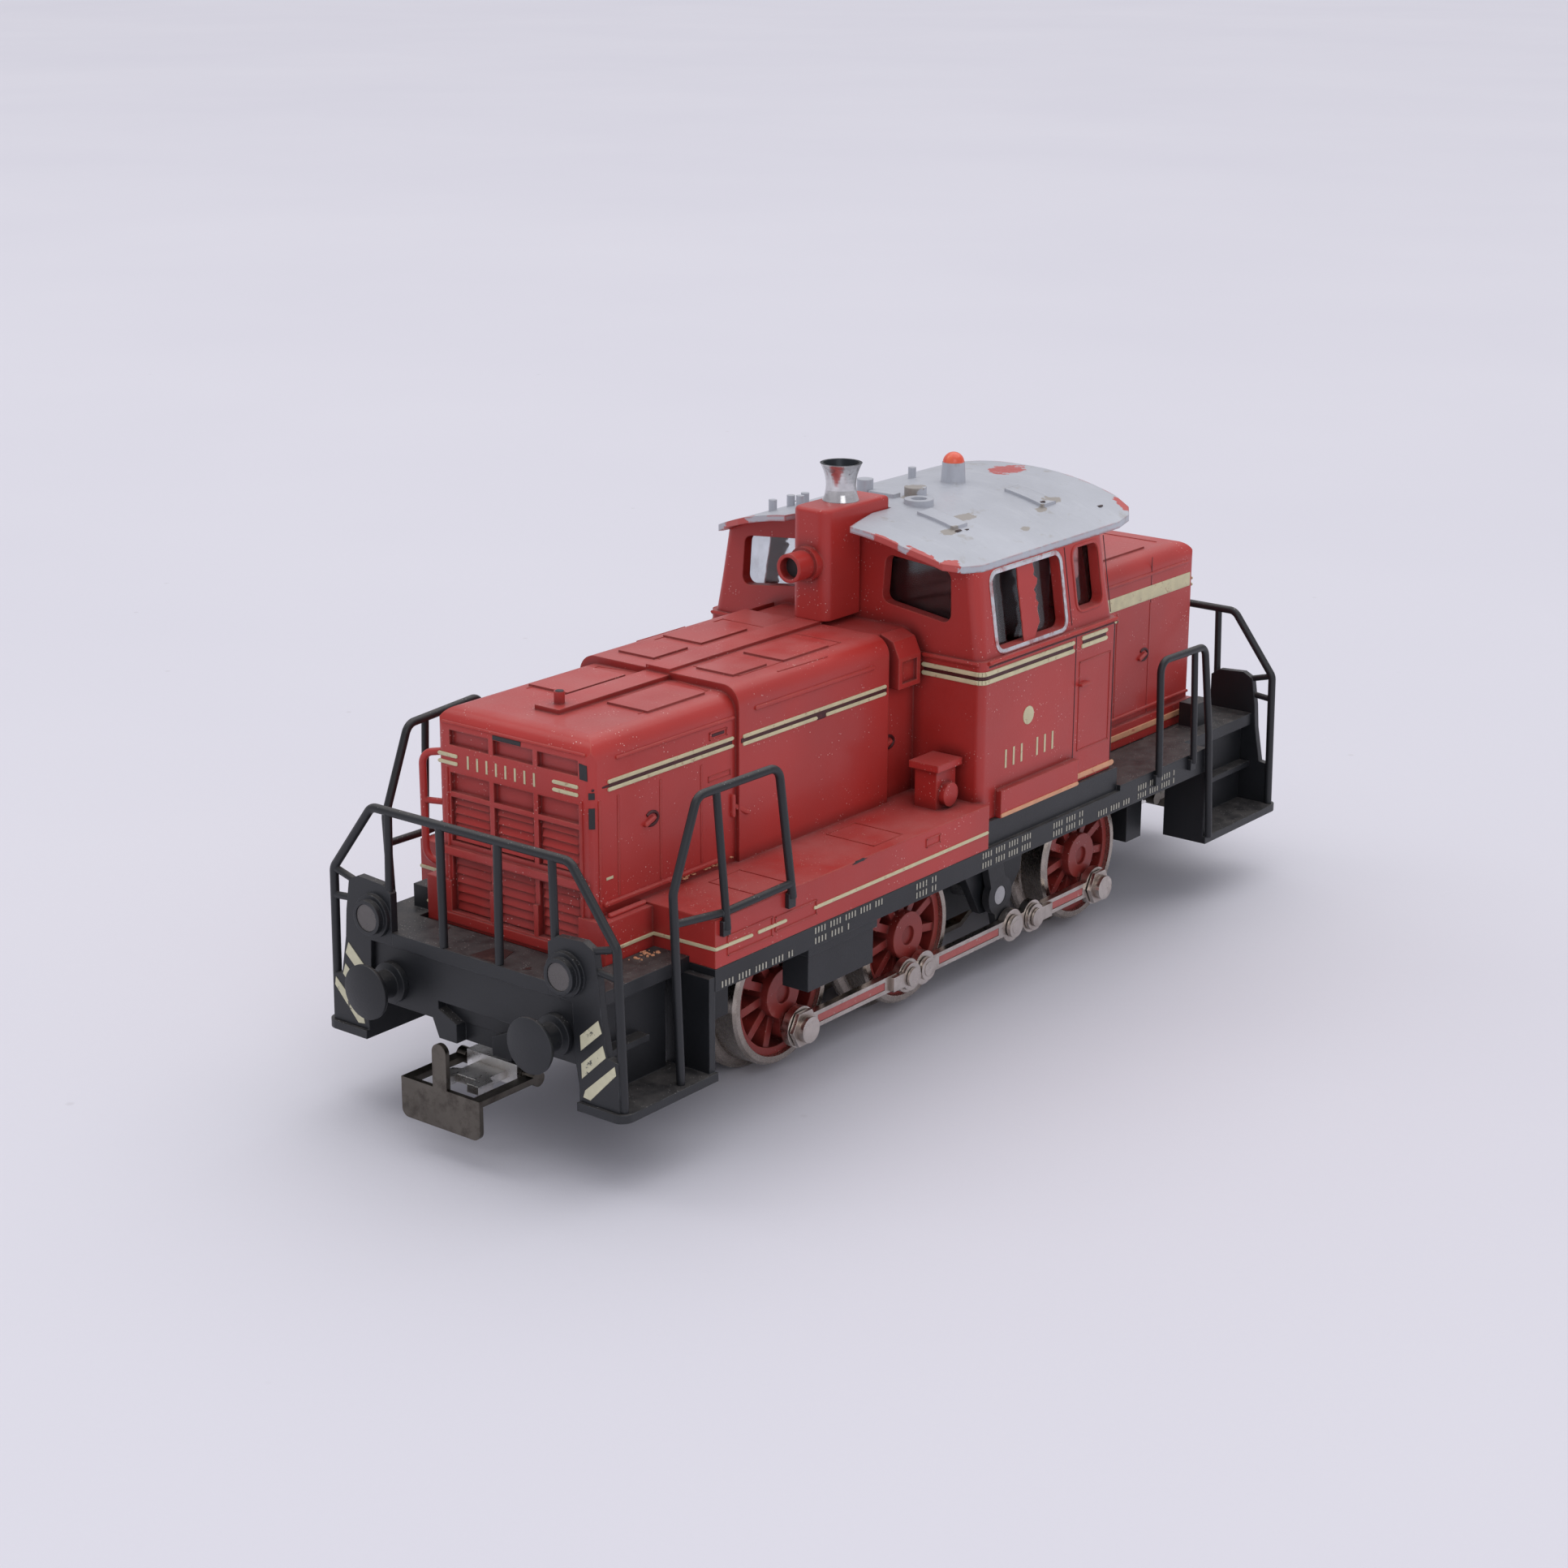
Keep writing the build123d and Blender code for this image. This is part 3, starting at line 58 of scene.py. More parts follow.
camera_data = bpy.data.cameras.new("camera")
camera_data.lens = CAMERA_LENS
camera_data.sensor_width = CAMERA_SENSOR
camera_data.clip_start = 0.005
camera_data.clip_end = 50
camera = bpy.data.objects.new("camera", camera_data)
bpy.context.scene.collection.objects.link(camera)
camera.matrix_world = look(CAMERA_RIGHT, CAMERA_UP, CAMERA_BACK, CAMERA_PLACE)
bpy.context.scene.camera = camera
bpy.context.scene.view_settings.view_transform = "Standard"


# ---- light --------------------------------------------------------------------------------
def aim(light, position, target):
    """Put a light in the scene at position, turned to target."""
    bpy.context.scene.collection.objects.link(light)
    light.location = position
    direction = Vector(target) - Vector(position)
    light.rotation_euler = direction.to_track_quat("-Z", "Y").to_euler()


def soft_sun(name, position, strength, angle, colour):
    """Wide sun that shines from position to the origin; angle is its width in degrees."""
    data = bpy.data.lights.new(name, "SUN")
    data.energy = strength
    data.angle = math.radians(angle)
    data.color = colour
    aim(bpy.data.objects.new(name, data), position, (0, 0, 0))


def softbox(name, position, target, size, power, colour):
    """Rectangular lamp; size in metres, power in watts."""
    data = bpy.data.lights.new(name, "AREA")
    data.shape = "RECTANGLE"
    data.size, data.size_y = size
    data.energy = power
    data.color = colour
    aim(bpy.data.objects.new(name, data), position, target)


soft_sun("overhead", (-0.30, -0.05, 1.0), 1.3, 78, (1.0, 0.985, 0.975))
softbox("front_left", (0.75, 0.95, 0.75), (0, 0, 0.02), (0.7, 0.7), 2.2, (0.98, 0.985, 1.0))
softbox("back_right", (0.35, -0.75, 0.95), (0, 0, 0.03), (0.45, 0.45), 1.1, (1.0, 0.99, 0.98))

WORLD_COLOUR, WORLD_STRENGTH = (0.72, 0.715, 0.775), 0.71
world = bpy.data.worlds.new("studio")
bpy.context.scene.world = world
world.use_nodes = True
background = world.node_tree.nodes["Background"]
background.inputs["Color"].default_value = (*WORLD_COLOUR, 1)
background.inputs["Strength"].default_value = WORLD_STRENGTH


# ---- materials ----------------------------------------------------------------------------
NOISE_LOW, NOISE_HIGH = 0.3, 0.7      # most values of a noise lie between these


def shade(colour, factor):
    """The colour made darker or lighter by a factor."""
    return [min(1, c * factor) for c in colour]


class Nodes:
    """Builds one node material. Every texture reads object coordinates, in millimetres."""

    def __init__(self, name):
        self.material = bpy.data.materials.new(name)
        self.material.use_nodes = True
        self.tree = self.material.node_tree
        self.shader = self.tree.nodes["Principled BSDF"]
        coords = self.tree.nodes.new("ShaderNodeTexCoord")
        self.normal_out = coords.outputs["Normal"]
        scale = self.tree.nodes.new("ShaderNodeVectorMath")
        scale.operation = "SCALE"
        scale.inputs["Scale"].default_value = 1 / MM
        self.link(coords.outputs["Object"], scale.inputs[0])
        self.place = scale.outputs["Vector"]

    def link(self, source, target):
        self.tree.links.new(source, target)

    def set(self, name, value):
        self.shader.inputs[name].default_value = value

    def value(self, source, target):
        """Connect a socket, or store a plain number."""
        if hasattr(source, "is_linked"):
            self.link(source, target)
        else:
            target.default_value = source

    def noise(self, size, detail=3.0, rough=0.55, stretch=(1, 1, 1), offset=(0, 0, 0)):
        """Noise whose blobs are about size millimetres wide, from 0 to 1."""
        mapping = self.tree.nodes.new("ShaderNodeMapping")
        self.link(self.place, mapping.inputs["Vector"])
        mapping.inputs["Scale"].default_value = [k / size for k in stretch]
        mapping.inputs["Location"].default_value = offset
        node = self.tree.nodes.new("ShaderNodeTexNoise")
        self.link(mapping.outputs["Vector"], node.inputs["Vector"])
        node.inputs["Scale"].default_value = 1.0
        node.inputs["Detail"].default_value = detail
        node.inputs["Roughness"].default_value = rough
        return node.outputs["Fac"]

    def cells(self, size):
        """Distance from the nearest of points that are about size millimetres apart."""
        node = self.tree.nodes.new("ShaderNodeTexVoronoi")
        node.feature = "F1"
        self.link(self.place, node.inputs["Vector"])
        node.inputs["Scale"].default_value = 1 / size
        return node.outputs["Distance"]

    def ramp(self, source, low, high, to_low=0.0, to_high=1.0):
        """Stretch low..high to to_low..to_high, with both ends clamped."""
        node = self.tree.nodes.new("ShaderNodeMapRange")
        node.clamp = True
        self.link(source, node.inputs["Value"])
        node.inputs["From Min"].default_value = low
        node.inputs["From Max"].default_value = high
        node.inputs["To Min"].default_value = to_low
        node.inputs["To Max"].default_value = to_high
        return node.outputs["Result"]

    def spread(self, source, to_low=0.0, to_high=1.0):
        """Stretch the usual range of a noise to to_low..to_high."""
        return self.ramp(source, NOISE_LOW, NOISE_HIGH, to_low, to_high)

    def math(self, operation, a, b=0.0):
        node = self.tree.nodes.new("ShaderNodeMath")
        node.operation = operation
        self.value(a, node.inputs[0])
        self.value(b, node.inputs[1])
        return node.outputs[0]

    def times(self, a, b):
        return self.math("MULTIPLY", a, b)

    def mix(self, factor, a, b):
        """Colour that goes from a to b as factor goes from 0 to 1."""
        node = self.tree.nodes.new("ShaderNodeMix")
        node.data_type = "RGBA"
        self.value(factor, node.inputs["Factor"])
        for colour, socket in ((a, node.inputs[6]), (b, node.inputs[7])):
            if hasattr(colour, "is_linked"):
                self.link(colour, socket)
            else:
                socket.default_value = (*colour, 1)
        return node.outputs[2]

    def axis(self, source, index):
        node = self.tree.nodes.new("ShaderNodeSeparateXYZ")
        self.link(source, node.inputs[0])
        return node.outputs[index]

    def upward(self, low=0.3, high=0.95):
        """1 on faces that look up."""
        return self.ramp(self.axis(self.normal_out, 2), low, high)

    def edges(self, radius, low=0.02, high=0.2):
        """1 on sharp edges: how far the rounded normal leans away from the face's own."""
        geometry = self.tree.nodes.new("ShaderNodeNewGeometry")
        dot = self.tree.nodes.new("ShaderNodeVectorMath")
        dot.operation = "DOT_PRODUCT"
        self.link(self.rounded(radius), dot.inputs[0])
        self.link(geometry.outputs["Normal"], dot.inputs[1])
        lean = self.math("SUBTRACT", 1.0, dot.outputs["Value"])
        return self.ramp(lean, low, high)

    def rounded(self, radius):
        """Normal that rolls over sharp edges with this radius."""
        bevel = self.tree.nodes.new("ShaderNodeBevel")
        bevel.samples = 4
        bevel.inputs["Radius"].default_value = radius * MM
        return bevel.outputs["Normal"]

    def hollow_shade_and_tarnish(self, distance, low=0.45, high=0.95):
        """1 in corners and grooves by ambient occlusion: painted shade on the red body, tarnish in the
        hollows of bare metal.
        """
        node = self.tree.nodes.new("ShaderNodeAmbientOcclusion")
        node.samples = 4
        node.only_local = True
        node.inputs["Distance"].default_value = distance * MM
        return self.ramp(node.outputs["AO"], low, high, 1.0, 0.0)

    def spots(self, places):
        """1 inside ragged ovals on a level face; each place is x, y and its half width along both."""
        total = None
        x, y = self.axis(self.place, 0), self.axis(self.place, 1)
        ragged = self.spread(self.noise(0.8, 4), -0.7, 0.7)
        for spot_x, spot_y, wide, deep in places:
            u = self.math("DIVIDE", self.math("SUBTRACT", x, spot_x), wide)
            v = self.math("DIVIDE", self.math("SUBTRACT", y, spot_y), deep)
            away = self.math("ADD", self.math("MULTIPLY", u, u), self.math("MULTIPLY", v, v))
            spot = self.ramp(self.math("ADD", away, ragged), 0.8, 1.1, 1.0, 0.0)
            total = spot if total is None else self.math("MAXIMUM", total, spot)
        return total

    def bump(self, height, depth, normal=None):
        """Bump of about depth millimetres."""
        node = self.tree.nodes.new("ShaderNodeBump")
        node.inputs["Strength"].default_value = 1.0
        node.inputs["Distance"].default_value = depth * MM
        self.link(height, node.inputs["Height"])
        if normal is not None:
            self.link(normal, node.inputs["Normal"])
        return node.outputs["Normal"]

    def finish(self, colour, rough, normal=None):
        """Connect the colour, roughness and normal, and return the material."""
        self.value(colour if hasattr(colour, "is_linked") else (*colour, 1), self.shader.inputs["Base Color"])
        self.value(rough, self.shader.inputs["Roughness"])
        if normal is not None:
            self.link(normal, self.shader.inputs["Normal"])
        return self.material


def red_body(name, base, dust_amount=0.5):
    """Glossy red plastic: lighter edges (wear and a painted highlight), painted shade in grooves, painted
    sheen on the sides, dusty on top.
    """
    n = Nodes(name)
    broad = n.noise(14, 2)
    colour = n.mix(n.spread(broad), shade(base, 0.88), shade(base, 1.1))
    # edges made lighter orange-red: partly wear, partly a painted highlight
    worn = n.times(n.edges(0.22), n.ramp(n.noise(2.4, 4), 0.35, 0.62))
    colour = n.mix(n.times(worn, 0.6), colour, (0.68, 0.15, 0.10))
    # painted shade: darker in corners and grooves, from ambient occlusion
    painted_shade = n.times(n.hollow_shade_and_tarnish(1.4), 0.85)
    colour = n.mix(painted_shade, colour, shade(base, 0.25))
    # painted sheen: faces that look sideways are washed a little paler and pinker
    side = n.ramp(n.axis(n.normal_out, 2), 0.05, 0.5, 1.0, 0.0)
    haze_and_sheen = n.times(side, n.spread(n.noise(7, 4, 0.6, offset=(2, 8, 5)), 0.0, 0.12))
    colour = n.mix(haze_and_sheen, colour, (0.40, 0.13, 0.13))
    dust = n.times(n.upward(0.8, 1.0), n.ramp(n.noise(6.5, 5, 0.62), 0.3, 0.74, 0.1, 1.0))
    dust = n.times(dust, dust_amount)
    colour = n.mix(dust, colour, (0.50, 0.20, 0.19))
    grains = n.ramp(n.cells(0.36), 0.1, 0.17, 1.0, 0.0)
    sparse = n.times(grains, n.ramp(n.noise(3.2, 3, offset=(7, 3, 1)), 0.52, 0.64))
    colour = n.mix(n.times(sparse, 0.85), colour, (0.85, 0.62, 0.57))
    fine = n.noise(0.16, 3, 0.6)
    rough = n.math("ADD", n.spread(fine, 0.34, 0.44), n.times(dust, 0.35))
    normal = n.bump(fine, 0.012, n.rounded(0.22))
    n.set("Specular IOR Level", 0.34)
    n.set("Coat Weight", 0.2)
    n.set("Coat Roughness", 0.17)
    return n.finish(colour, rough, normal)


def black_plastic(name, base=(0.0095, 0.0105, 0.0125), dust_amount=0.42, rough_level=0.42):
    """Dull black plastic with grey edges (wear and a painted highlight), dust and a few pale grains."""
    n = Nodes(name)
    colour = n.mix(n.spread(n.noise(9, 3)), base, shade(base, 1.7))
    # grey edges: partly wear, partly a painted highlight
    worn = n.times(n.edges(0.15), n.ramp(n.noise(1.6, 4), 0.4, 0.68))
    colour = n.mix(n.times(worn, 0.6), colour, (0.13, 0.14, 0.15))
    dust = n.times(n.upward(0.55, 1.0), n.ramp(n.noise(1.8, 6, 0.68), 0.3, 0.68, 0.1, 1.0))
    dust = n.times(dust, dust_amount)
    colour = n.mix(dust, colour, (0.17, 0.155, 0.145))
    grains = n.times(n.ramp(n.cells(0.3), 0.1, 0.18, 1.0, 0.0), n.upward(0.4, 0.9))
    colour = n.mix(n.times(grains, n.ramp(n.noise(2.4, 3), 0.42, 0.6)), colour, (0.48, 0.46, 0.45))
    fine = n.noise(0.12, 3)
    rough = n.math("ADD", n.spread(fine, rough_level - 0.05, rough_level + 0.06),
                   n.times(dust, 0.4))
    return n.finish(colour, rough, n.bump(fine, 0.01, n.rounded(0.15)))


# x, y and half widths along both, in mm
ROOF_SMEARS = (
    (-7.2, 8.3, 1.6, 0.7), (-2.3, 9.9, 1.5, 0.55), (-20.9, 9.7, 1.7, 0.6), (-17.6, 10.6, 1.0, 0.4),
    (-11.5, 12.6, 0.9, 0.4), (-8.4, 1.0, 1.7, 1.0),
)
ROOF_BARE = (
    (5.3, 12.2, 0.9, 2.0), (4.0, 14.3, 1.6, 0.8), (-29.0, 13.6, 1.0, 1.5), (5.9, 8.0, 0.5, 1.4),
    (-25.6, 0.6, 2.6, 1.6), (5.6, -11.0, 1.0, 2.2),
)
ROOF_REAR_RIM, ROOF_FRONT_RIM, ROOF_SIDE_RIM = (-28.9, -27.8), (4.4, 5.6), (14.8, 15.3)


def roof_paint():
    """Silver paint over red plastic, worn through at the outer edges."""
    n = Nodes("roof_paint")
    base = (0.495, 0.515, 0.56)
    colour = n.mix(n.ramp(n.noise(11, 4), 0.3, 0.72), shade(base, 0.9), shade(base, 1.06))
    x, y = n.axis(n.place, 0), n.math("ABSOLUTE", n.axis(n.place, 1))
    brush = n.noise(1.1, 4, 0.6, stretch=(1, 0.16, 1))
    colour = n.mix(n.ramp(brush, 0.55, 0.8, 0.0, 0.35), colour, (0.62, 0.64, 0.68))
    soil = n.times(n.ramp(n.noise(2.2, 5, 0.65), 0.6, 0.7), 0.4)
    colour = n.mix(soil, colour, (0.30, 0.27, 0.21))
    colour = n.mix(n.times(n.spots(ROOF_SMEARS), 0.6), colour, (0.26, 0.2, 0.12))
    ends = n.math("MAXIMUM", n.ramp(x, *ROOF_REAR_RIM, 1.0, 0.0), n.ramp(x, *ROOF_FRONT_RIM))
    rim = n.math("MAXIMUM", ends, n.ramp(y, *ROOF_SIDE_RIM, 0.0, 0.5))
    rim = n.times(n.edges(0.4, 0.02, 0.12), rim)
    worn = n.times(rim, n.ramp(n.noise(1.9, 5, 0.6, offset=(3, 9, 2)), 0.44, 0.52))
    bare = n.spots(ROOF_BARE)
    under = n.ramp(n.axis(n.normal_out, 2), -0.5, -0.2, 1.0, 0.0)
    bare = n.math("MAXIMUM", n.math("MAXIMUM", worn, bare), under)
    colour = n.mix(bare, colour, (0.52, 0.09, 0.08))
    rough = n.spread(n.noise(0.5, 4), 0.32, 0.46)
    n.set("Metallic", 0.2)
    height = n.math("ADD", brush, n.times(bare, -0.7))
    return n.finish(colour, rough, n.bump(height, 0.02, n.rounded(0.2)))


def metal(name, base, rough_low, rough_high, size=0.5, stretch=(1, 1, 1), stain=None,
          stain_amount=0.4, bump_mm=0.008):
    """Bare metal; size and stretch shape its grain, stain is the colour of its tarnish."""
    n = Nodes(name)
    colour = n.mix(n.spread(n.noise(3.5, 4)), shade(base, 0.82), shade(base, 1.08))
    if stain:
        mask = n.times(n.ramp(n.noise(1.5, 5, 0.65, offset=(1, 5, 2)), 0.48, 0.68), stain_amount)
        mask = n.math("MAXIMUM", mask, n.times(n.hollow_shade_and_tarnish(0.8), 0.8))
        colour = n.mix(mask, colour, stain)
    n.set("Metallic", 1.0)
    grain = n.noise(size, 4, 0.6, stretch)
    rough = n.spread(grain, rough_low, rough_high)
    return n.finish(colour, rough, n.bump(grain, bump_mm, n.rounded(0.08)))


def part_painted(name, paint, bare, half_y, paint_outside):
    """Steel that is painted on one side of the planes y = +half_y and y = -half_y."""
    n = Nodes(name)
    y = n.math("ABSOLUTE", n.axis(n.place, 1))
    low, high = (0.0, 1.0) if paint_outside else (1.0, 0.0)
    mask = n.ramp(y, half_y - 0.02, half_y + 0.02, low, high)
    patchy = n.spread(n.noise(1.4, 4))
    metal_colour = n.mix(patchy, shade(bare, 0.8), bare)
    paint_colour = n.mix(patchy, shade(paint, 0.7), paint)
    n.link(n.math("SUBTRACT", 1.0, mask), n.shader.inputs["Metallic"])
    grain = n.noise(0.4, 4)
    rough = n.math("ADD", n.spread(grain, 0.26, 0.38), n.times(mask, 0.12))
    return n.finish(n.mix(mask, metal_colour, paint_colour), rough, n.bump(grain, 0.008, n.rounded(0.08)))


def turned(name, base, rough_low, rough_high):
    """Lathe-turned nickel: fine rings about the axles, with a brownish tarnish."""
    return metal(name, base, rough_low, rough_high, 0.35, (1, 3, 1), (0.22, 0.17, 0.13), 0.35)


def painted(name, base, chip_to, chip_amount, rough_low=0.42, rough_high=0.55):
    """Paint with chips that show the colour chip_to."""
    n = Nodes(name)
    colour = n.mix(n.spread(n.noise(1.3, 4)), shade(base, 0.88), shade(base, 1.06))
    chips = n.times(n.ramp(n.noise(0.75, 5, 0.65), 0.6, 0.66), chip_amount)
    colour = n.mix(chips, colour, chip_to)
    fine = n.noise(0.1, 2)
    rough = n.spread(fine, rough_low, rough_high)
    return n.finish(colour, rough, n.bump(fine, 0.01, n.rounded(0.08)))


def clear(name, base, rough_low, rough_high, transmission=1.0):
    """Clear plastic with a slight haze."""
    n = Nodes(name)
    haze_and_sheen = n.noise(2.2, 5, 0.6)
    colour = n.mix(n.ramp(haze_and_sheen, 0.35, 0.75), base, shade(base, 0.8))
    n.set("Transmission Weight", transmission)
    n.set("IOR", 1.47)
    return n.finish(colour, n.ramp(haze_and_sheen, 0.35, 0.75, rough_low, rough_high), n.bump(haze_and_sheen, 0.01))


CHIMNEY_WEAR_Z, CHIMNEY_MOUTH_Z = (53.62, 53.72), (52.6, 52.7)


def chimney_plate():
    """Bright plating, near black where worn off around the rim and on faces that look up inside the mouth."""
    n = Nodes("chimney_chrome")
    ragged = n.math("ADD", n.axis(n.place, 2), n.spread(n.noise(1.0, 4), -0.5, 0.5))
    worn = n.ramp(ragged, *CHIMNEY_WEAR_Z)
    # near black on faces that look up, above the mouth's height
    inward = n.times(n.upward(0.12, 0.3), n.ramp(n.axis(n.place, 2), *CHIMNEY_MOUTH_Z))
    worn = n.math("MAXIMUM", n.times(worn, n.upward(-0.5, -0.1)), inward)
    colour = n.mix(n.ramp(n.noise(1.5, 4), 0.35, 0.7), (0.74, 0.73, 0.73), (0.5, 0.49, 0.5))
    colour = n.mix(worn, colour, (0.035, 0.04, 0.045))
    n.set("Metallic", 0.95)
    grain = n.noise(0.5, 4)
    rough = n.math("ADD", n.spread(grain, 0.12, 0.26), n.times(worn, 0.2))
    return n.finish(colour, rough, n.bump(grain, 0.01, n.rounded(0.1)))


def orange_lens():
    """Cloudy orange plastic that lets a little light in."""
    n = Nodes("beacon_orange")
    colour = n.mix(n.ramp(n.noise(0.9, 4), 0.35, 0.65), (0.82, 0.075, 0.03), (0.9, 0.16, 0.07))
    n.set("Coat Weight", 0.5)
    n.set("Subsurface Weight", 0.15)
    n.set("Subsurface Radius", (0.001, 0.0004, 0.0002))
    return n.finish(colour, n.spread(n.noise(0.5, 3), 0.3, 0.4), n.bump(n.noise(0.4, 3), 0.01))


def floor_paper():
    """Pale paper with a few faint specks."""
    n = Nodes("floor_paper")
    colour = n.mix(n.spread(n.noise(160, 3)), (0.705, 0.70, 0.765), (0.73, 0.725, 0.785))
    specks = n.times(n.ramp(n.cells(17), 0.012, 0.03, 1.0, 0.0), 0.3)
    colour = n.mix(specks, colour, (0.5, 0.48, 0.5))
    fine = n.noise(0.7, 4)
    return n.finish(colour, n.spread(fine, 0.72, 0.82), n.bump(fine, 0.02))


RED, WHEEL_RED = (0.45, 0.033, 0.027), (0.30, 0.035, 0.028)
NICKEL, STEEL = (0.66, 0.60, 0.555), (0.5, 0.5, 0.5)
BLACK_ZINC = (0.035, 0.036, 0.038)
MATERIALS = {
    "body_red": red_body("body_red", RED),
    "roof_silver": roof_paint(),
    "beacon_orange": orange_lens(),
    "chimney_chrome": chimney_plate(),
    "window_clear": clear("window_clear", (0.93, 0.95, 0.97), 0.03, 0.12),
    "frame_black": black_plastic("frame_black"),
    "lamp_clear": clear("lamp_clear", (0.16, 0.145, 0.14), 0.2, 0.34, 0.3),
    "chassis_zinc": black_plastic("chassis_zinc", BLACK_ZINC, 0.3, 0.45),
    "screw_steel": metal("screw_steel", STEEL, 0.25, 0.4, 0.3),
    "tyre_nickel": turned("tyre_nickel", (0.46, 0.405, 0.36), 0.2, 0.34),
    "wheel_red": red_body("wheel_red", WHEEL_RED, 0.2),
    "rod_nickel": metal("rod_nickel", NICKEL, 0.24, 0.38, 0.5, (0.4, 1, 1), (0.28, 0.21, 0.17), 0.35),
    "gear_brass": metal("gear_brass", (0.68, 0.48, 0.2), 0.25, 0.42, 0.3, stain=(0.2, 0.12, 0.05)),
    "motor_iron": metal("motor_iron", (0.16, 0.16, 0.17), 0.4, 0.6, 0.35, (1, 6, 1), (0.1, 0.05, 0.03), 0.3),
    "coil_copper": metal("coil_copper", (0.55, 0.2, 0.08), 0.25, 0.4, 0.22, (0.3, 6, 1), bump_mm=0.05),
    "carbon": black_plastic("carbon", (0.015, 0.015, 0.016), 0.1, 0.6),
    "insulator_brown": painted("insulator_brown", (0.22, 0.1, 0.045), (0.3, 0.18, 0.1), 0.5),
    "shoe_steel": metal("shoe_steel", (0.5, 0.46, 0.4), 0.25, 0.4, 0.4, (0.2, 1, 1), (0.2, 0.15, 0.1), 0.4),
    "coupler_bronze": metal("coupler_bronze", (0.15, 0.135, 0.115), 0.28, 0.42, 0.4,
                            stain=(0.05, 0.04, 0.035), stain_amount=0.6),
    "coupler_steel": metal("coupler_steel", (0.72, 0.71, 0.69), 0.24, 0.36, 0.6,
                           stain=(0.42, 0.39, 0.35), stain_amount=0.3),
}
CREAM = painted("stripe_cream", (0.66, 0.60, 0.38), (0.36, 0.16, 0.1), 0.55)
PEACH = painted("stripe_peach", (0.72, 0.36, 0.2), (0.5, 0.09, 0.07), 0.7)
# dark maroon: painted shade in grooves and recesses, and the colour of seam lines
GROOVE = painted("groove_shade_and_seams", (0.06, 0.008, 0.01), (0.12, 0.02, 0.02), 0.4)
# near black: painted shade in slots and in the lamp tube, and dark chips
DARK = painted("recess_shade_and_chips", (0.02, 0.018, 0.02), (0.05, 0.03, 0.03), 0.3)
SILVER = metal("frame_silver", (0.74, 0.74, 0.76), 0.25, 0.42, 0.4,
               stain=(0.45, 0.1, 0.09), stain_amount=0.9)
CABIN = painted("cab_interior", (0.014, 0.011, 0.012), (0.05, 0.03, 0.03), 0.3)
FLAKE = painted("brown_flake", (0.04, 0.018, 0.016), (0.14, 0.08, 0.06), 0.4)
HAZARD = painted("hazard_cream", (0.68, 0.65, 0.46), (0.05, 0.05, 0.05), 0.9)
INLAY = painted("rod_inlay", (0.50, 0.13, 0.12), (0.55, 0.45, 0.4), 0.5)
DASH = painted("data_dash", (0.50, 0.48, 0.40), (0.12, 0.12, 0.12), 0.8)

# axles are painted beyond the first half width, cranks within the second
AXLE_BARE_HALF, CRANK_PAINT_HALF = 11.0, 12.0
AXLE = part_painted("painted_axle", WHEEL_RED, STEEL, AXLE_BARE_HALF, True)
CRANK = part_painted("painted_crank", (0.03, 0.031, 0.034), NICKEL, CRANK_PAINT_HALF, False)
for subpart in frame["record"]["subparts"]:
    name = subpart["node"]
    material = MATERIALS[subpart["material_slot"]]
    if name in ("front_axle", "middle_axle", "rear_axle"):
        material = AXLE
    elif name == "jackshaft_cranks":
        material = CRANK
    node = frame["nodes"][name]
    node.data.materials.clear()
    node.data.materials.append(material)


# ---- mesh helpers -------------------------------------------------------------------------
def piece(name, mesh_data, material, body):
    """Turn a bmesh, built in millimetres, into a piece that rides on a body."""
    bmesh.ops.scale(mesh_data, vec=(MM, MM, MM), verts=mesh_data.verts)
    bmesh.ops.recalc_face_normals(mesh_data, faces=mesh_data.faces)
    mesh = bpy.data.meshes.new(name)
    mesh_data.to_mesh(mesh)
    mesh_data.free()
    mesh.materials.append(material)
    obj = bpy.data.objects.new(name, mesh)
    bpy.context.scene.collection.objects.link(obj)
    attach(obj, body)
    return obj


def ribbon(mesh_data, points, out, width, thick, round_ends=True):
    """Raised bar along points on a surface whose normal is out; its top edges are chamfered."""
    out = Vector(out).normalized()
    points = [Vector(p) for p in points]
    sections = []
    count = len(points)
    for i, point in enumerate(points):
        before = points[max(i - 1, 0)]
        after = points[min(i + 1, count - 1)]
        along = (after - before).normalized()
        side = out.cross(along).normalized()
        sections.append((point, side, 1.0))
    if round_ends:
        first, last = points[0], points[-1]
        start = (points[1] - first).normalized()
        stop = (last - points[-2]).normalized()
        caps = ((0.5, 0.25), (0.42, 0.62), (0.25, 0.9))
        head = [(first - start * width * a, sections[0][1], b) for a, b in caps]
        tail = [(last + stop * width * a, sections[-1][1], b) for a, b in reversed(caps)]
        sections = head + sections + tail
    rings = []
    half = width / 2
    for point, side, scale in sections:
        ring = []
        for reach, high in ((-1, -0.3), (-1, 0.6), (-0.7, 1.0), (0.7, 1.0), (1, 0.6), (1, -0.3)):
            ring.append(mesh_data.verts.new(point + side * half * reach * scale + out * thick * high))
        rings.append(ring)
    for a, b in zip(rings[:-1], rings[1:]):
        for i in range(6):
            j = (i + 1) % 6
            mesh_data.faces.new((a[i], a[j], b[j], b[i]))
    mesh_data.faces.new(rings[0])
    mesh_data.faces.new(list(reversed(rings[-1])))


def slab(mesh_data, low, high, bevel=0.08):
    """Box from its low to its high corner with bevelled edges."""
    low, high = Vector(low), Vector(high)
    made = bmesh.ops.create_cube(mesh_data, size=1.0)["verts"]
    bmesh.ops.scale(mesh_data, vec=high - low, verts=made)
    bmesh.ops.translate(mesh_data, vec=(low + high) / 2, verts=made)
    edges = list({edge for vert in made for edge in vert.link_edges})
    bmesh.ops.bevel(mesh_data, geom=edges, offset=bevel, segments=2, profile=0.7, affect="EDGES")


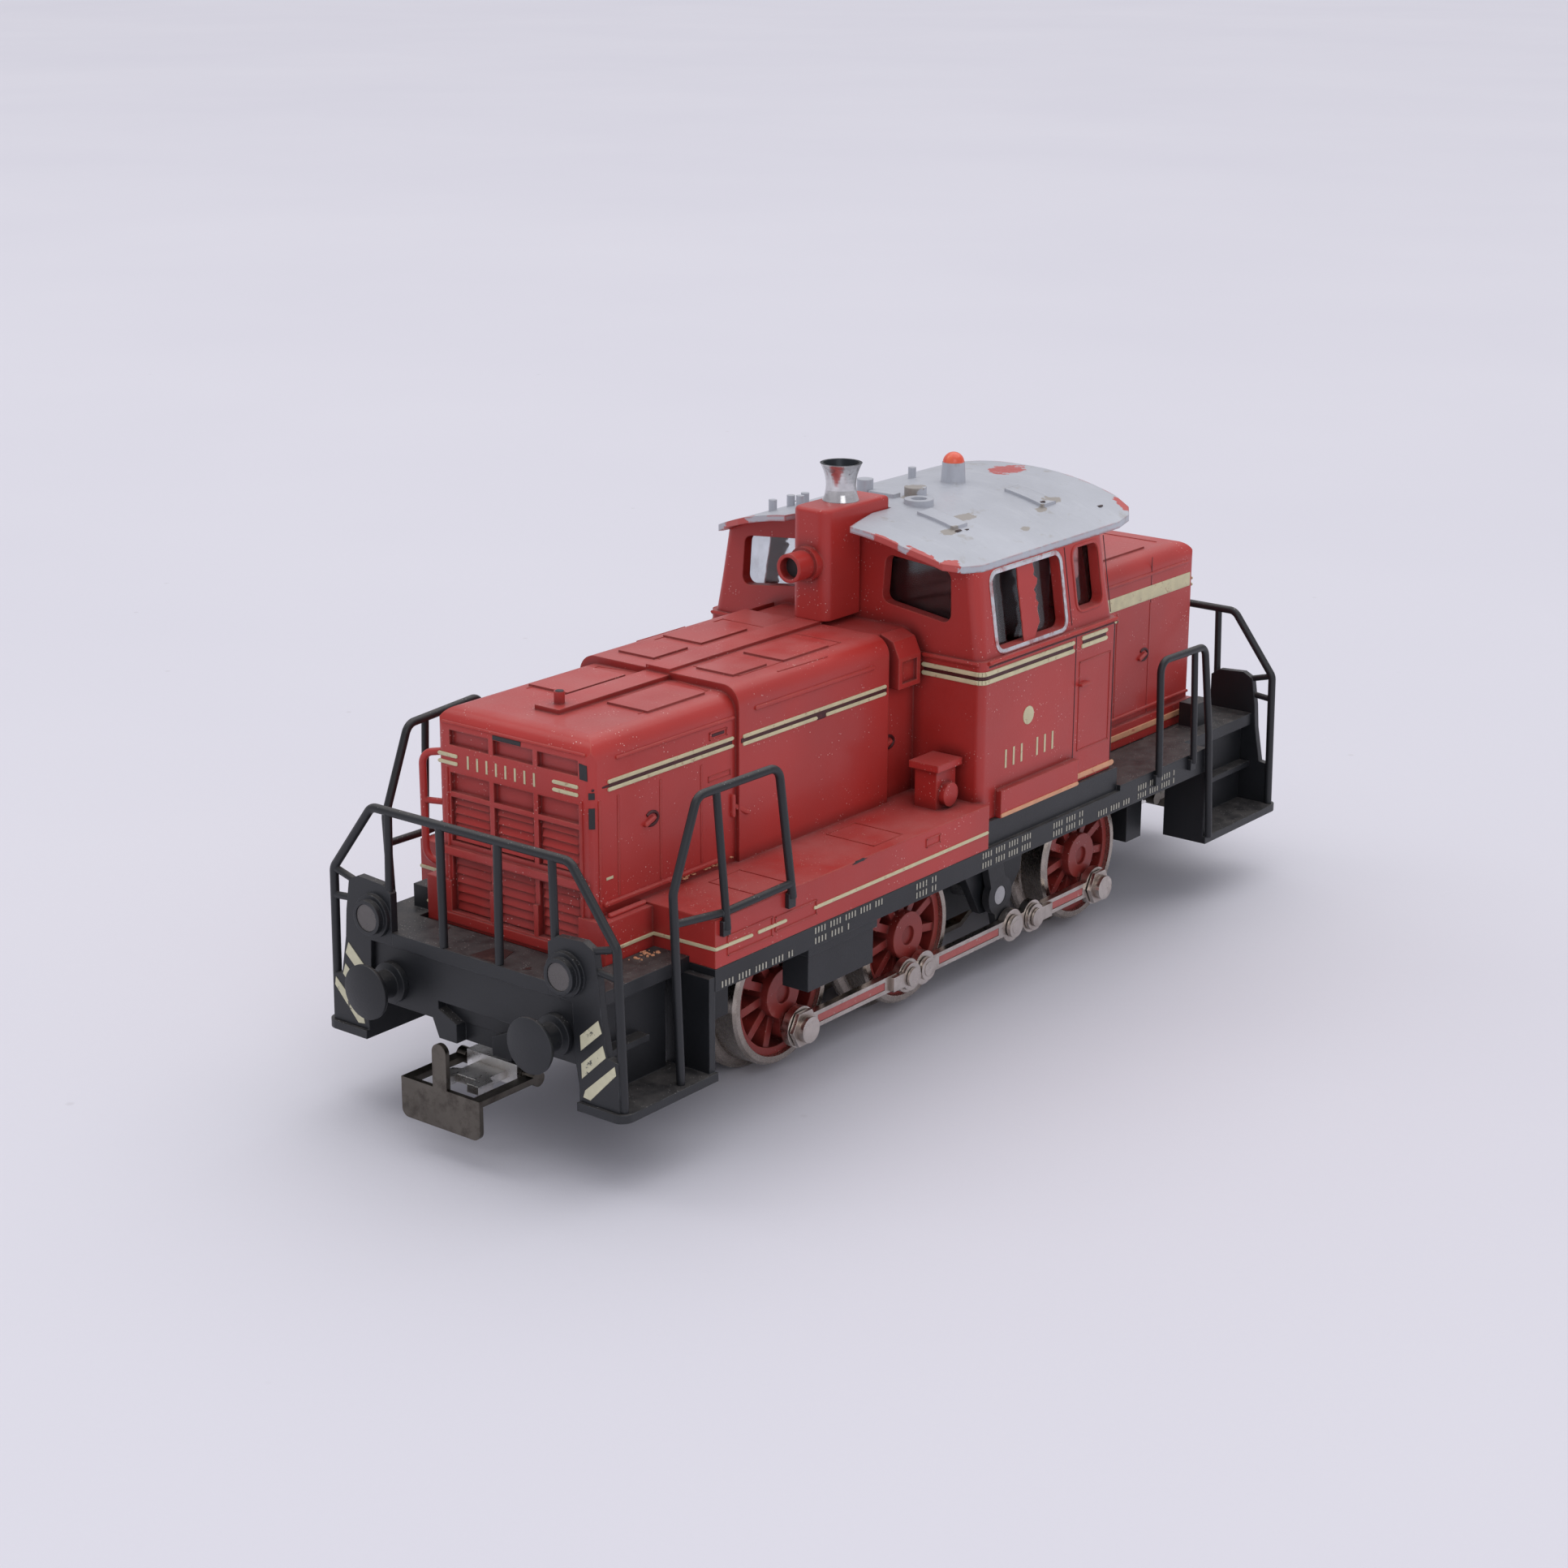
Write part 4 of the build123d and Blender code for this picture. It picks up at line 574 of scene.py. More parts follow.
def tube(mesh_data, points, radius, sides=10, closed=False):
    """Round bar along points."""
    points = [Vector(p) for p in points]
    count = len(points)
    rings = []
    guide = None
    for i, point in enumerate(points):
        if closed:
            along = (points[(i + 1) % count] - points[i - 1]).normalized()
        else:
            along = (points[min(i + 1, count - 1)] - points[max(i - 1, 0)]).normalized()
        if guide is None:
            guide = Vector((0.13, 0.31, 0.94)).cross(along).normalized()
        guide = (guide - along * guide.dot(along)).normalized()
        other = along.cross(guide)
        ring = []
        for k in range(sides):
            a = 2 * math.pi * k / sides
            spoke = guide * math.cos(a) + other * math.sin(a)
            ring.append(mesh_data.verts.new(point + spoke * radius))
        rings.append(ring)
    pairs = list(zip(rings[:-1], rings[1:]))
    if closed:
        pairs.append((rings[-1], rings[0]))
    for a, b in pairs:
        for i in range(sides):
            j = (i + 1) % sides
            mesh_data.faces.new((a[i], a[j], b[j], b[i]))
    if not closed:
        mesh_data.faces.new(rings[0])
        mesh_data.faces.new(list(reversed(rings[-1])))


def plate(mesh_data, outline, out, thick):
    """Thin plate that stands out of a surface by thick; its outline is given on the surface."""
    out = Vector(out).normalized()
    outline = [Vector(p) for p in outline]
    middle = sum(outline, Vector()) / len(outline)
    low = [mesh_data.verts.new(p - out * thick * 0.3) for p in outline]
    mid = [mesh_data.verts.new(p + out * thick * 0.6) for p in outline]
    top = []
    for p in outline:
        inward = (middle - p).normalized()
        top.append(mesh_data.verts.new(p + inward * thick * 0.5 + out * thick))
    count = len(outline)
    for a, b in ((low, mid), (mid, top)):
        for i in range(count):
            j = (i + 1) % count
            mesh_data.faces.new((a[i], a[j], b[j], b[i]))
    mesh_data.faces.new(top)
    mesh_data.faces.new(list(reversed(low)))


def ring_band(mesh_data, outer, inner, out, thick):
    """Flat frame between two loops of points that lie on a surface."""
    out = Vector(out).normalized()
    loops = []
    for points, high in ((outer, -0.3), (outer, 0.6), (None, 1.0), (inner, 0.7), (inner, -0.3)):
        if points is None:
            points = [Vector(a) * 0.7 + Vector(b) * 0.3 for a, b in zip(outer, inner)]
        loops.append([mesh_data.verts.new(Vector(p) + out * thick * high) for p in points])
    count = len(outer)
    for a, b in zip(loops, loops[1:] + loops[:1]):
        for i in range(count):
            j = (i + 1) % count
            mesh_data.faces.new((a[i], a[j], b[j], b[i]))


def rounded_loop(centre, width, height, radius, place, steps=5):
    """Rounded rectangle; place turns its two flat coordinates into a point."""
    points = []
    for quarter, (sx, sy) in enumerate(((1, 1), (-1, 1), (-1, -1), (1, -1))):
        for k in range(steps + 1):
            a = math.pi / 2 * (quarter + k / steps)
            u = centre[0] + sx * (width / 2 - radius) + radius * math.cos(a)
            v = centre[1] + sy * (height / 2 - radius) + radius * math.sin(a)
            points.append(place(u, v))
    return points


def disc_points(count, radius, place):
    """Points of a circle; place turns its two flat coordinates into a point."""
    points = []
    for k in range(count):
        a = 2 * math.pi * k / count
        points.append(place(radius * math.cos(a), radius * math.sin(a)))
    return points


def blot(mesh_data, centre, u, v, size, out, thick=0.05, points=14, jag=0.35):
    """Ragged flake of paint, size wide along the directions u and v."""
    u, v = Vector(u), Vector(v)
    outline = []
    for k in range(points):
        a = 2 * math.pi * k / points
        r = 1 + rng.uniform(-jag, jag)
        along_u = u * math.cos(a) * size[0] / 2 * r
        along_v = v * math.sin(a) * size[1] / 2 * r
        outline.append(Vector(centre) + along_u + along_v)
    plate(mesh_data, outline, out, thick)


def rectangle(x0, x1, z0, z1, y):
    """Corners of a rectangle on a side face."""
    return [(x0, y, z0), (x1, y, z0), (x1, y, z1), (x0, y, z1)]


def closed_ribs(mesh_data, corners, out, width, thick):
    """Raised bars from corner to corner, all the way round."""
    for a, b in zip(corners, corners[1:] + corners[:1]):
        ribbon(mesh_data, [a, b], out, width, thick)


def outward(y):
    """Normal of the side face that is on y's side of the middle."""
    return (0, math.copysign(1, y), 0)


def outline_ribs(mesh_data, x0, x1, z0, z1, y, width=0.14, thick=0.1):
    """Raised outline of a rectangle on a side face."""
    closed_ribs(mesh_data, rectangle(x0, x1, z0, z1, y), outward(y), width, thick)


# ---- sizes in the part's source and places on it, in millimetres -----------------------------
HOOD_HALF, STEP_HALF, NECK_HALF = 9.32, 9.75, 8.95      # both hoods, raised section, neck by the cab
HOOD_FRONT, HOOD_REAR = 50.24, -51.1
HOOD_TOP, STEP_TOP = 38.3, 39.0
PIN_TOP = (44.0, 0, 39.9)        # small pin on the long hood
CAB_FRONT, CAB_REAR = 2.1, -22.4
CAB_SIDE, WAIST_SIDE, WAIST_Z = 17.2, 16.85, 36.5
CAB_CORNER_R = 0.8
LEAN = 0.158                     # inward lean of the upper cab walls, mm per mm of height
BOARD_SIDE, BOARD_TOP, BOARD_FRONT = 18.1, 22.2, 44.1
FOOT_SIDE = 17.95                # panel that stands proud at the foot of the cab side
PLINTH_SIDE = 10.85
SIDE_WINDOW = (-7.25, 40.75, 12.0, 7.4)
DOOR_WINDOW = (-18.0, 41.35, 4.6, 6.3)
WINDOW_R = 0.9
DOOR_X = (-14.6, -21.9)
ROOF_R, ROOF_CROWN, ROOF_LID = 35.6, 49.2, 0.3      # radius, height and how far the lids stand up
LAMP_TUBE = (9.8, 0, 45.0)       # floor of the lamp tube on the exhaust housing
PLATFORM_TOP = 18.2
SHIELD_FACE = 56.5
UP = (0, 0, 1)
HOOD_ENDS = ((HOOD_FRONT, 1), (HOOD_REAR, -1))


def wall_y(z):
    """Half width of the leaning upper cab."""
    return WAIST_SIDE - LEAN * (z - WAIST_Z)


def roof_z(y):
    """Height of the curved roof."""
    return ROOF_CROWN - ROOF_R + math.sqrt(ROOF_R ** 2 - y ** 2)


def level(mesh_data, x0, x1, y, z, width, thick, round_ends=True):
    """Bar along X on a side face."""
    ribbon(mesh_data, [(x0, y, z), (x1, y, z)], outward(y), width, thick, round_ends)


def upright(mesh_data, x, y, z0, z1, width, thick, round_ends=True):
    """Bar along Z on a side face."""
    ribbon(mesh_data, [(x, y, z0), (x, y, z1)], outward(y), width, thick, round_ends)


def across(mesh_data, x, y0, y1, z, out, width, thick, round_ends=True):
    """Bar along Y on an end face."""
    ribbon(mesh_data, [(x, y0, z), (x, y1, z)], out, width, thick, round_ends)


# ---- stripes ------------------------------------------------------------------------------
HOOD_LINES = (33.84, 0.36, 0.36)     # middle height, distance of each line from it, width
CAB_LINES = (34.88, 0.42, 0.46)
DOOR_LINES = (35.03, 0.42, 0.46)
LINE_T, FLAT_T = 0.12, 0.04          # how far a line, and the groove beside it, stand out
BAND_Z, BAND_W = 34.05, 1.55         # wide band of the short hood
LOW_Z, LOW_W = 19.4, 0.34            # thin lines low on the running boards
BREAK_X = (18.7, 17.6)               # dark break in the long hood's lower line
cream, groove, peach = bmesh.new(), bmesh.new(), bmesh.new()


def double_line(start, end, out, lines):
    """Two cream lines with a dark strip between them, painted shade of the groove; start and end are x and y.
    """
    middle_z, gap, width = lines
    for dz in (gap, -gap):
        ribbon(cream, [(*start, middle_z + dz), (*end, middle_z + dz)], out, width, LINE_T)
    # dark strip: painted shade in the groove between the lines
    ribbon(groove, [(*start, middle_z), (*end, middle_z)], out, 2 * gap - width * 0.8, FLAT_T, False)


def hood_side_lines(s):
    """Lines of the long hood, which step out with its middle stretch."""
    z, gap, width = HOOD_LINES
    front_y, step_y = s * HOOD_HALF, s * STEP_HALF
    x0, x1 = 29.8, 8.0
    double_line((48.0, front_y), (31.0, front_y), outward(s), HOOD_LINES)
    # painted shade of the groove round the hood's front corner
    ribbon(groove, [(50.0, s * 9.2, z), (48.1, front_y, z)], outward(s), 0.22, 0.05)
    level(cream, x0, x1, step_y, z + gap, width, LINE_T)
    level(cream, x0, BREAK_X[0] + 0.3, step_y, z - gap, width, LINE_T)
    level(cream, BREAK_X[1] - 0.3, x1, step_y, z - gap, width, LINE_T)
    # painted shade in the groove between the lines
    level(groove, x0 + 0.4, x1 - 0.3, step_y, z, 0.42, FLAT_T, False)
    level(groove, *BREAK_X, step_y, z - gap, 0.5, 0.05)


def cab_lines(s):
    """Lines along the cab side, round its corner and along the cab front to the hood."""
    middle_z, gap, width = CAB_LINES
    side_y = s * CAB_SIDE
    centre_x, centre_y = CAB_FRONT - CAB_CORNER_R, CAB_SIDE - CAB_CORNER_R
    double_line((-14.0, side_y), (CAB_FRONT - 0.75, side_y), outward(s), CAB_LINES)
    double_line((CAB_FRONT, s * 16.45), (CAB_FRONT, s * 10.2), (1, 0, 0), CAB_LINES)
    double_line((-15.8, side_y), (-20.2, side_y), outward(s), DOOR_LINES)
    steps = 4
    for dz in (gap, 0, -gap):
        corner = []
        for k in range(steps + 1):
            a = math.pi / 2 * k / steps
            x = centre_x + CAB_CORNER_R * math.cos(a)
            corner.append((x, s * (centre_y + CAB_CORNER_R * math.sin(a)), middle_z + dz))
        for a, b in zip(corner[:-1], corner[1:]):
            facing = ((a[0] + b[0]) / 2 - centre_x, (a[1] + b[1]) / 2 - s * centre_y, 0)
            if dz:
                ribbon(cream, [a, b], facing, width, LINE_T, False)
            else:
                # painted shade in the groove round the corner
                ribbon(groove, [a, b], facing, 0.4, FLAT_T, False)


def board_lines(s):
    """Broken line on the running board's edge, round its front and along the hood's plinth."""
    side_y, out = s * BOARD_SIDE, outward(s)
    level(cream, 2.0, 29.8, side_y, LOW_Z, LOW_W, LINE_T)
    level(cream, 34.2, 38.0, side_y, LOW_Z, LOW_W, LINE_T)
    ribbon(cream, [(39.1, side_y, LOW_Z), (44.0, side_y, LOW_Z + 0.1)], out, LOW_W, LINE_T)
    front = [(BOARD_FRONT, s * 18.0, LOW_Z + 0.1), (BOARD_FRONT, s * 11.0, LOW_Z)]
    ribbon(cream, front, (1, 0, 0), LOW_W, LINE_T)
    level(cream, BOARD_FRONT + 0.2, 50.4, s * PLINTH_SIDE, LOW_Z - 0.05, LOW_W, LINE_T)
    level(peach, -0.8, -14.4, s * FOOT_SIDE, 20.45, 0.42, LINE_T)
    level(peach, -14.8, -22.2, s * CAB_SIDE, 20.75, 0.6, LINE_T)
    level(peach, -22.8, -50.8, s * 9.77, 19.0, 0.7, 0.08, False)


for s in (1, -1):
    hood_side_lines(s)
    cab_lines(s)
    level(cream, CAB_REAR - 0.8, -50.2, s * HOOD_HALF, BAND_Z, BAND_W, 0.08, False)
    board_lines(s)
for face, end in HOOD_ENDS:
    for y0, y1 in ((-9.0, -6.95), (4.95, 7.6)):
        for dz in (HOOD_LINES[1], -HOOD_LINES[1]):
            across(cream, face, end * y0, end * y1, 33.55 + dz, (end, 0, 0), HOOD_LINES[2], LINE_T)
piece("cream_stripes", cream, CREAM, "chassis")
# dark strips of painted shade in the grooves between the cream lines
piece("stripe_groove_shade", groove, GROOVE, "chassis")
piece("peach_stripes", peach, PEACH, "chassis")

# ---- ribs, seams and handles moulded on the body -------------------------------------------
RIM_Z = 36.15                    # rib under the curve of the hood's roof
LEDGE_Z = 36.25                  # drip ledge at the cab's waist
ribs, seams, handles = bmesh.new(), bmesh.new(), bmesh.new()


def door_handle(x, z, y):
    """Dark half ring, painted shade where the half-round recess is, with a small bar across it."""
    arc = []
    for k in range(11):
        a = math.radians(40 + 28 * k)
        arc.append((x + 0.85 * math.cos(a), y, z + 0.62 * math.sin(a)))
    # dark arc: painted shade of the handle's recess
    tube(seams, arc, 0.17, 8)
    ribbon(handles, [(x - 0.15, y, z + 0.05), (x + 0.9, y, z - 0.35)], outward(y), 0.42, 0.32)


def hood_side_ribs(s):
    """Rims, door seams, ledges, latch and handles on one side of both hoods."""
    front_y, step_y = s * HOOD_HALF, s * STEP_HALF
    level(ribs, 46.9, 30.9, front_y, RIM_Z, 0.34, 0.14)
    level(ribs, 28.0, 10.0, step_y, RIM_Z + 0.35, 0.42, 0.16)
    level(ribs, -24.0, -49.6, front_y, RIM_Z, 0.34, 0.14)
    ribbon(ribs, [(23.4, s * 8.64, 38.82), (16.1, s * 8.8, 38.75)], (0, s * 0.45, 0.9), 0.16, 0.08)
    outline_ribs(ribs, 31.8, 34.2, 34.75, 35.4, front_y, 0.14, 0.09)
    outline_ribs(ribs, 31.3, 34.4, 30.8, 31.3, front_y, 0.1, 0.06)
    # dark line: painted shade of a small slot
    level(seams, 32.1, 33.9, front_y, 35.1, 0.3, 0.02, False)
    for x in (46.8, 41.1, 35.4):
        upright(ribs, x, front_y, 23.4, 32.7, 0.3, 0.05, False)
    for x in (-28.6, -35.2, -42.0):
        upright(ribs, x, front_y, 21.0, 32.9, 0.3, 0.05, False)
    upright(seams, -42.0, front_y, 20.4, 38.0, 0.13, 0.02, False)
    upright(ribs, 49.3, front_y, 23.4, 32.6, 0.3, 0.12)
    # ledges where the hoods meet the plinth and the deck
    level(ribs, 48.8, 32.7, front_y, 23.0, 0.42, 0.32)
    ribbon(ribs, [(48.8, s * 10.0, 22.15), (44.4, s * 10.0, 22.15)], (0, s * 0.5, 1), 0.5, 0.2)
    level(ribs, -23.4, -50.4, front_y, 21.0, 0.36, 0.24)
    # latch at the step in the hood's side
    upright(ribs, 31.0, front_y, 28.6, 26.9, 0.5, 0.3)
    ribbon(ribs, [(30.6, front_y, 27.6), (29.5, step_y, 26.9)], outward(s), 0.5, 0.3)
    door_handle(42.36, 29.4, front_y)
    door_handle(6.2, 28.0, s * NECK_HALF)
    door_handle(-40.9, 27.2, front_y)


def board_ribs(s):
    """Panels on the running board's edge and lids on its top."""
    side_y = s * BOARD_SIDE
    outline_ribs(ribs, 36.1, 42.4, 18.5, 20.3, side_y)
    outline_ribs(ribs, 29.6, 35.6, 18.75, 20.1, side_y)
    outline_ribs(ribs, 10.1, 12.3, 20.6, 21.4, side_y)
    y0, y1 = s * 11.2, s * 16.8
    for x0, x1 in ((32.2, 36.6), (14.5, 19.0)):
        corners = [(x0, y0, BOARD_TOP), (x1, y0, BOARD_TOP), (x1, y1, BOARD_TOP), (x0, y1, BOARD_TOP)]
        closed_ribs(ribs, corners, UP, 0.12, 0.07)


def cab_ribs(s):
    """Drip ledge at the waist, door seams, door handle and door panel."""
    side_y = s * CAB_SIDE
    ribbon(ribs, [(-21.8, side_y, LEDGE_Z), (1.0, side_y, LEDGE_Z)], (0, s, 0.6), 0.42, 0.34)
    for x, out_x in ((CAB_FRONT, 1), (CAB_REAR, -1)):
        across(ribs, x, s * 16.6, s * 10.3, LEDGE_Z, (out_x, 0, 0.6), 0.42, 0.34)
    level(seams, -21.8, 1.0, side_y, LEDGE_Z - 0.35, 0.16, 0.03, False)
    low, high = 37.0, 44.9
    for x in DOOR_X:
        upright(seams, x, side_y, 21.2, 35.8, 0.14, 0.03, False)
        seam = [(x + 0.25, s * wall_y(low), low), (x + 0.25, s * wall_y(high), high)]
        ribbon(seams, seam, (0, s, LEAN), 0.14, 0.03, False)
    level(ribs, -15.4, -16.9, side_y, 30.6, 0.34, 0.5)
    outline_ribs(ribs, -21.2, -15.4, 23.6, 33.0, side_y, 0.14, 0.07)


def rear_louvres():
    """Framed louvres, a ledge and a small handle on the short hood's end."""
    for y0, y1 in ((-7.6, -3.0), (-2.4, 2.4), (3.0, 7.6)):
        for z0, z1, count in ((21.6, 25.0, 5), (25.9, 31.6, 8)):
            for y in (y0, y1):
                ribbon(ribs, [(HOOD_REAR, y, z0), (HOOD_REAR, y, z1)], (-1, 0, 0), 0.28, 0.18)
            for i in range(count):
                z = z0 + (i + 0.5) * (z1 - z0) / count
                across(ribs, HOOD_REAR, y0 + 0.35, y1 - 0.35, z, (-1, 0, -0.4), 0.4, 0.16)
    for z in (21.2, 25.45, 32.0):
        across(ribs, HOOD_REAR, -7.9, 7.9, z, (-1, 0, 0), 0.36, 0.22)
    across(ribs, HOOD_REAR - 0.1, -8.9, 8.9, 24.9, (-1, 0, 0.3), 0.4, 0.3)
    near, far, z = HOOD_REAR + 0.05, HOOD_REAR - 0.45, 29.4
    tube(handles, [(near, 5.4, z), (far, 5.4, z), (far, 6.8, z), (near, 6.8, z)], 0.16, 8)


def hood_top_ribs():
    """Panel lines on top of both hoods."""
    front = (((41.0, 6.74), (31.3, 6.67)), ((31.3, 6.67), (29.9, -0.2)))
    middle = (((27.5, 7.3), (12.0, 7.3)), ((27.5, 7.3), (27.5, 1.9)), ((12.0, 7.3), (12.0, 1.9)))
    for z, lines in ((HOOD_TOP, front), (STEP_TOP, middle)):
        for (x0, y0), (x1, y1) in lines:
            for s in (1, -1):
                ribbon(ribs, [(x0, s * y0, z), (x1, s * y1, z)], UP, 0.13, 0.06)
    for x in (-30.5, -47.5):
        across(ribs, x, -6.4, 6.4, HOOD_TOP, UP, 0.14, 0.07)


for s in (1, -1):
    hood_side_ribs(s)
    board_ribs(s)
    cab_ribs(s)
for face, end in HOOD_ENDS:
    for y in (8.12, -8.12):
        ribbon(ribs, [(face, y, 18.9), (face, y, 32.6)], (end, 0, 0), 0.22, 0.16)
    across(ribs, face - end * 0.08, -8.5, 8.5, 36.95, (end, 0, 0.3), 0.26, 0.14)
rear_louvres()
hood_top_ribs()
piece("body_ribs", ribs, MATERIALS["body_red"], "chassis")
piece("body_seams_and_recess_shade", seams, GROOVE, "chassis")
piece("door_handles", handles, MATERIALS["body_red"], "chassis")


# ---- painted shade in slots and in the lamp tube, dark chips and a scrape ---------------------
def dark_marks(dark):
    """Painted shade in the slots of the long hood and on the floor of the lamp tube, chips on the long hood
    and a scrape on the board.
    """
    top_x = HOOD_FRONT - 0.02
    # painted shade in the slots at the top, front and corners of the hood
    across(dark, top_x, -2.4, 1.0, 36.55, (1, 0, 0), 0.42, 0.05, False)
    corners = ((7.95, 34.7), (8.85, 34.65), (8.8, 36.05), (7.9, 36.15))
    plate(dark, [(HOOD_FRONT, y, z) for y, z in corners], (1, 0, 0), 0.05)
    corner_x, corner_y, half = HOOD_FRONT - 0.2, HOOD_HALF - 0.2, 0.2
    for z0, z1 in ((30.3, 32.2), (33.0, 33.6)):
        flat = ((-half, z0), (half, z0), (half, z1), (-half, z1))
        slot = [(corner_x + a, corner_y - a, z) for a, z in flat]
        plate(dark, slot, (1, 1, 0), 0.05)
    blot(dark, (22.9, BOARD_SIDE, BOARD_TOP - 0.1), (1, 0, 0), UP, (2.2, 0.35), (0, 1, 0), 0.05, 14, 0.4)
    blot(dark, PIN_TOP, (1, 0, 0), (0, 1, 0), (0.85, 0.85), UP, 0.05, 12, 0.1)
    # painted shade: dark disc on the floor of the lamp tube
    x, y, z = LAMP_TUBE
    plate(dark, disc_points(24, 1.02, lambda u, v: (x, y + u, z + v)), (1, 0, 0), 0.08)


dark = bmesh.new()
dark_marks(dark)
piece("slot_shade_and_chips", dark, DARK, "chassis")

# ---- windows: worn silver rims, a chipped post and the dark inside of the cab ------------------
rims, posts = bmesh.new(), bmesh.new()


def window_rim(mesh_data, s, window, margin):
    """Raised rim round a window of the leaning wall; window is its middle, width and height."""
    x, z, width, height = window

    def on_wall(u, v):
        return (u, s * wall_y(v), v)

    outer = rounded_loop((x, z), width + 2 * margin, height + 2 * margin, WINDOW_R + margin, on_wall)
    inner = rounded_loop((x, z), width, height, WINDOW_R, on_wall)
    ring_band(mesh_data, outer, inner, (0, s, LEAN), 0.12)


def chipped_post(s):
    """Post a little inside the side window, ragged on its rear side."""
    near, far = [], []
    steps, low, tall = 16, 36.9, 7.7
    for k in range(steps + 1):
        z = low + tall * k / steps
        y = s * (wall_y(z) - 0.25)
        near.append((-5.9 + rng.uniform(-0.06, 0.06), y, z))
        far.append((-8.1 - 0.8 * min(1.0, (z - low) / 3.0) + rng.uniform(-0.55, 0.5), y, z))
    plate(posts, near + list(reversed(far)), (0, s, LEAN), 0.1)


for s in (1, -1):
    window_rim(rims, s, SIDE_WINDOW, 0.48)
    window_rim(posts, s, DOOR_WINDOW, 0.3)
    chipped_post(s)
piece("window_rims", rims, SILVER, "chassis")
piece("window_posts", posts, MATERIALS["body_red"], "chassis")
inside = bmesh.new()
slab(inside, (-14.6, -2.6, WAIST_Z - 0.1), (-1.4, 13.6, 44.6), 0.6)
slab(inside, (-13.2, -2.4, 44.6), (-3.0, 9.0, 45.8), 0.4)
piece("cab_ballast", inside, CABIN, "chassis")

# ---- plain bars where small markings sit ------------------------------------------------------
SILL_GROUPS = (                  # ends along X, and height, of each row of dashes
    (43.4, 32.9, 15.95), (29.9, 19.2, 17.1), (29.9, 24.4, 16.1), (14.0, 10.4, 17.0), (14.0, 10.4, 16.1),
    (2.8, -6.0, 17.1), (2.8, -6.0, 16.1), (-9.9, -15.7, 17.0), (-9.9, -15.7, 16.1), (-18.4, -24.8, 16.1),
    (-26.2, -33.9, 17.0), (-26.2, -33.9, 16.1),
)
marks, dashes = bmesh.new(), bmesh.new()


def bars(mesh_data, x0, x1, z, y, height, width, pitch, skip):
    """Row of upright bars from x0 to x1; every skip-th place stays empty."""
    count = int(abs(x1 - x0) / pitch)
    for i in range(count):
        if i % skip == skip - 1:
            continue
        x = x0 + (x1 - x0) * (i + 0.5) / count
        outline = rectangle(x - width / 2, x + width / 2, z - height / 2, z + height / 2, y)
        plate(mesh_data, outline, outward(y), FLAT_T)


def side_marks(s):
    """Bars and a disc on the cab side, and a dash on each hood."""
    side_y, hood_y = s * CAB_SIDE, s * HOOD_HALF
    bars(marks, -1.6, -12.8, 25.85, side_y, 1.9, 0.3, 1.3, 4)
    plate(marks, rectangle(47.6, 48.5, 25.2, 25.45, hood_y), outward(s), 0.05)
    plate(marks, rectangle(-35.4, -34.4, 31.9, 32.15, hood_y), outward(s), 0.05)
    plate(marks, disc_points(20, 0.95, lambda u, v: (-6.15 + u, side_y, 29.5 + v)), outward(s), 0.06)


def end_marks(face, end):
    """Row of bars across a hood's end."""
    low, high, half = 32.95, 34.2, 0.11
    for i in range(8):
        y = end * (-5.5 + 1.15 * i)
        flat = ((y - half, low), (y + half, low), (y + half, high), (y - half, high))
        plate(marks, [(face, u, v) for u, v in flat], (end, 0, 0), FLAT_T)


for s in (1, -1):
    for x0, x1, z in SILL_GROUPS:
        bars(dashes, x0, x1, z, s * BOARD_SIDE, 0.6, 0.16, 0.46, 5)
    side_marks(s)
for face, end in HOOD_ENDS:
    end_marks(face, end)
piece("side_marks", marks, CREAM, "chassis")
piece("sill_dashes", dashes, DASH, "chassis")

# ---- striped corner plates ----------------------------------------------------------------------
HAZARD_STRIPES = (               # outlines in Y and Z
    ((13.2, 14.1), (15.3, 16.0), (15.7, 14.9), (13.2, 12.7)),
    ((13.2, 11.5), (15.8, 13.8), (16.15, 12.75), (13.35, 10.1)),
    ((13.7, 9.1), (17.1, 12.2), (17.25, 11.4), (14.3, 8.3), (13.5, 8.4)),
)
hazard = bmesh.new()
for end in (1, -1):
    for s in (1, -1):
        for stripe in HAZARD_STRIPES:
            outline = [(end * SHIELD_FACE, s * (y + rng.uniform(-0.06, 0.06)), z) for y, z in stripe]
            plate(hazard, outline, (end, 0, 0), 0.05)
piece("hazard_stripes", hazard, HAZARD, "chassis")

# ---- red inlays of the coupling rods --------------------------------------------------------------
INLAY_FLOOR, INLAY_TOP, INLAY_HALF = 12.70, 12.85, 0.4
for side, s, z, spans in (
    ("left", 1, 4.8, ((11.5, 22.7), (-8.4, 2.3), (-24.7, -18.5))),
    ("right", -1, 7.2, ((15.9, 27.1), (-4.0, 6.7), (-20.3, -14.1))),
):
    inlay = bmesh.new()
    y0, y1 = sorted((s * INLAY_FLOOR, s * INLAY_TOP))
    for x0, x1 in spans:
        slab(inlay, (x0, y0, z - INLAY_HALF), (x1, y1, z + INLAY_HALF), 0.04)
    piece(f"rod_inlay_{side}", inlay, INLAY, f"{side}_rods")

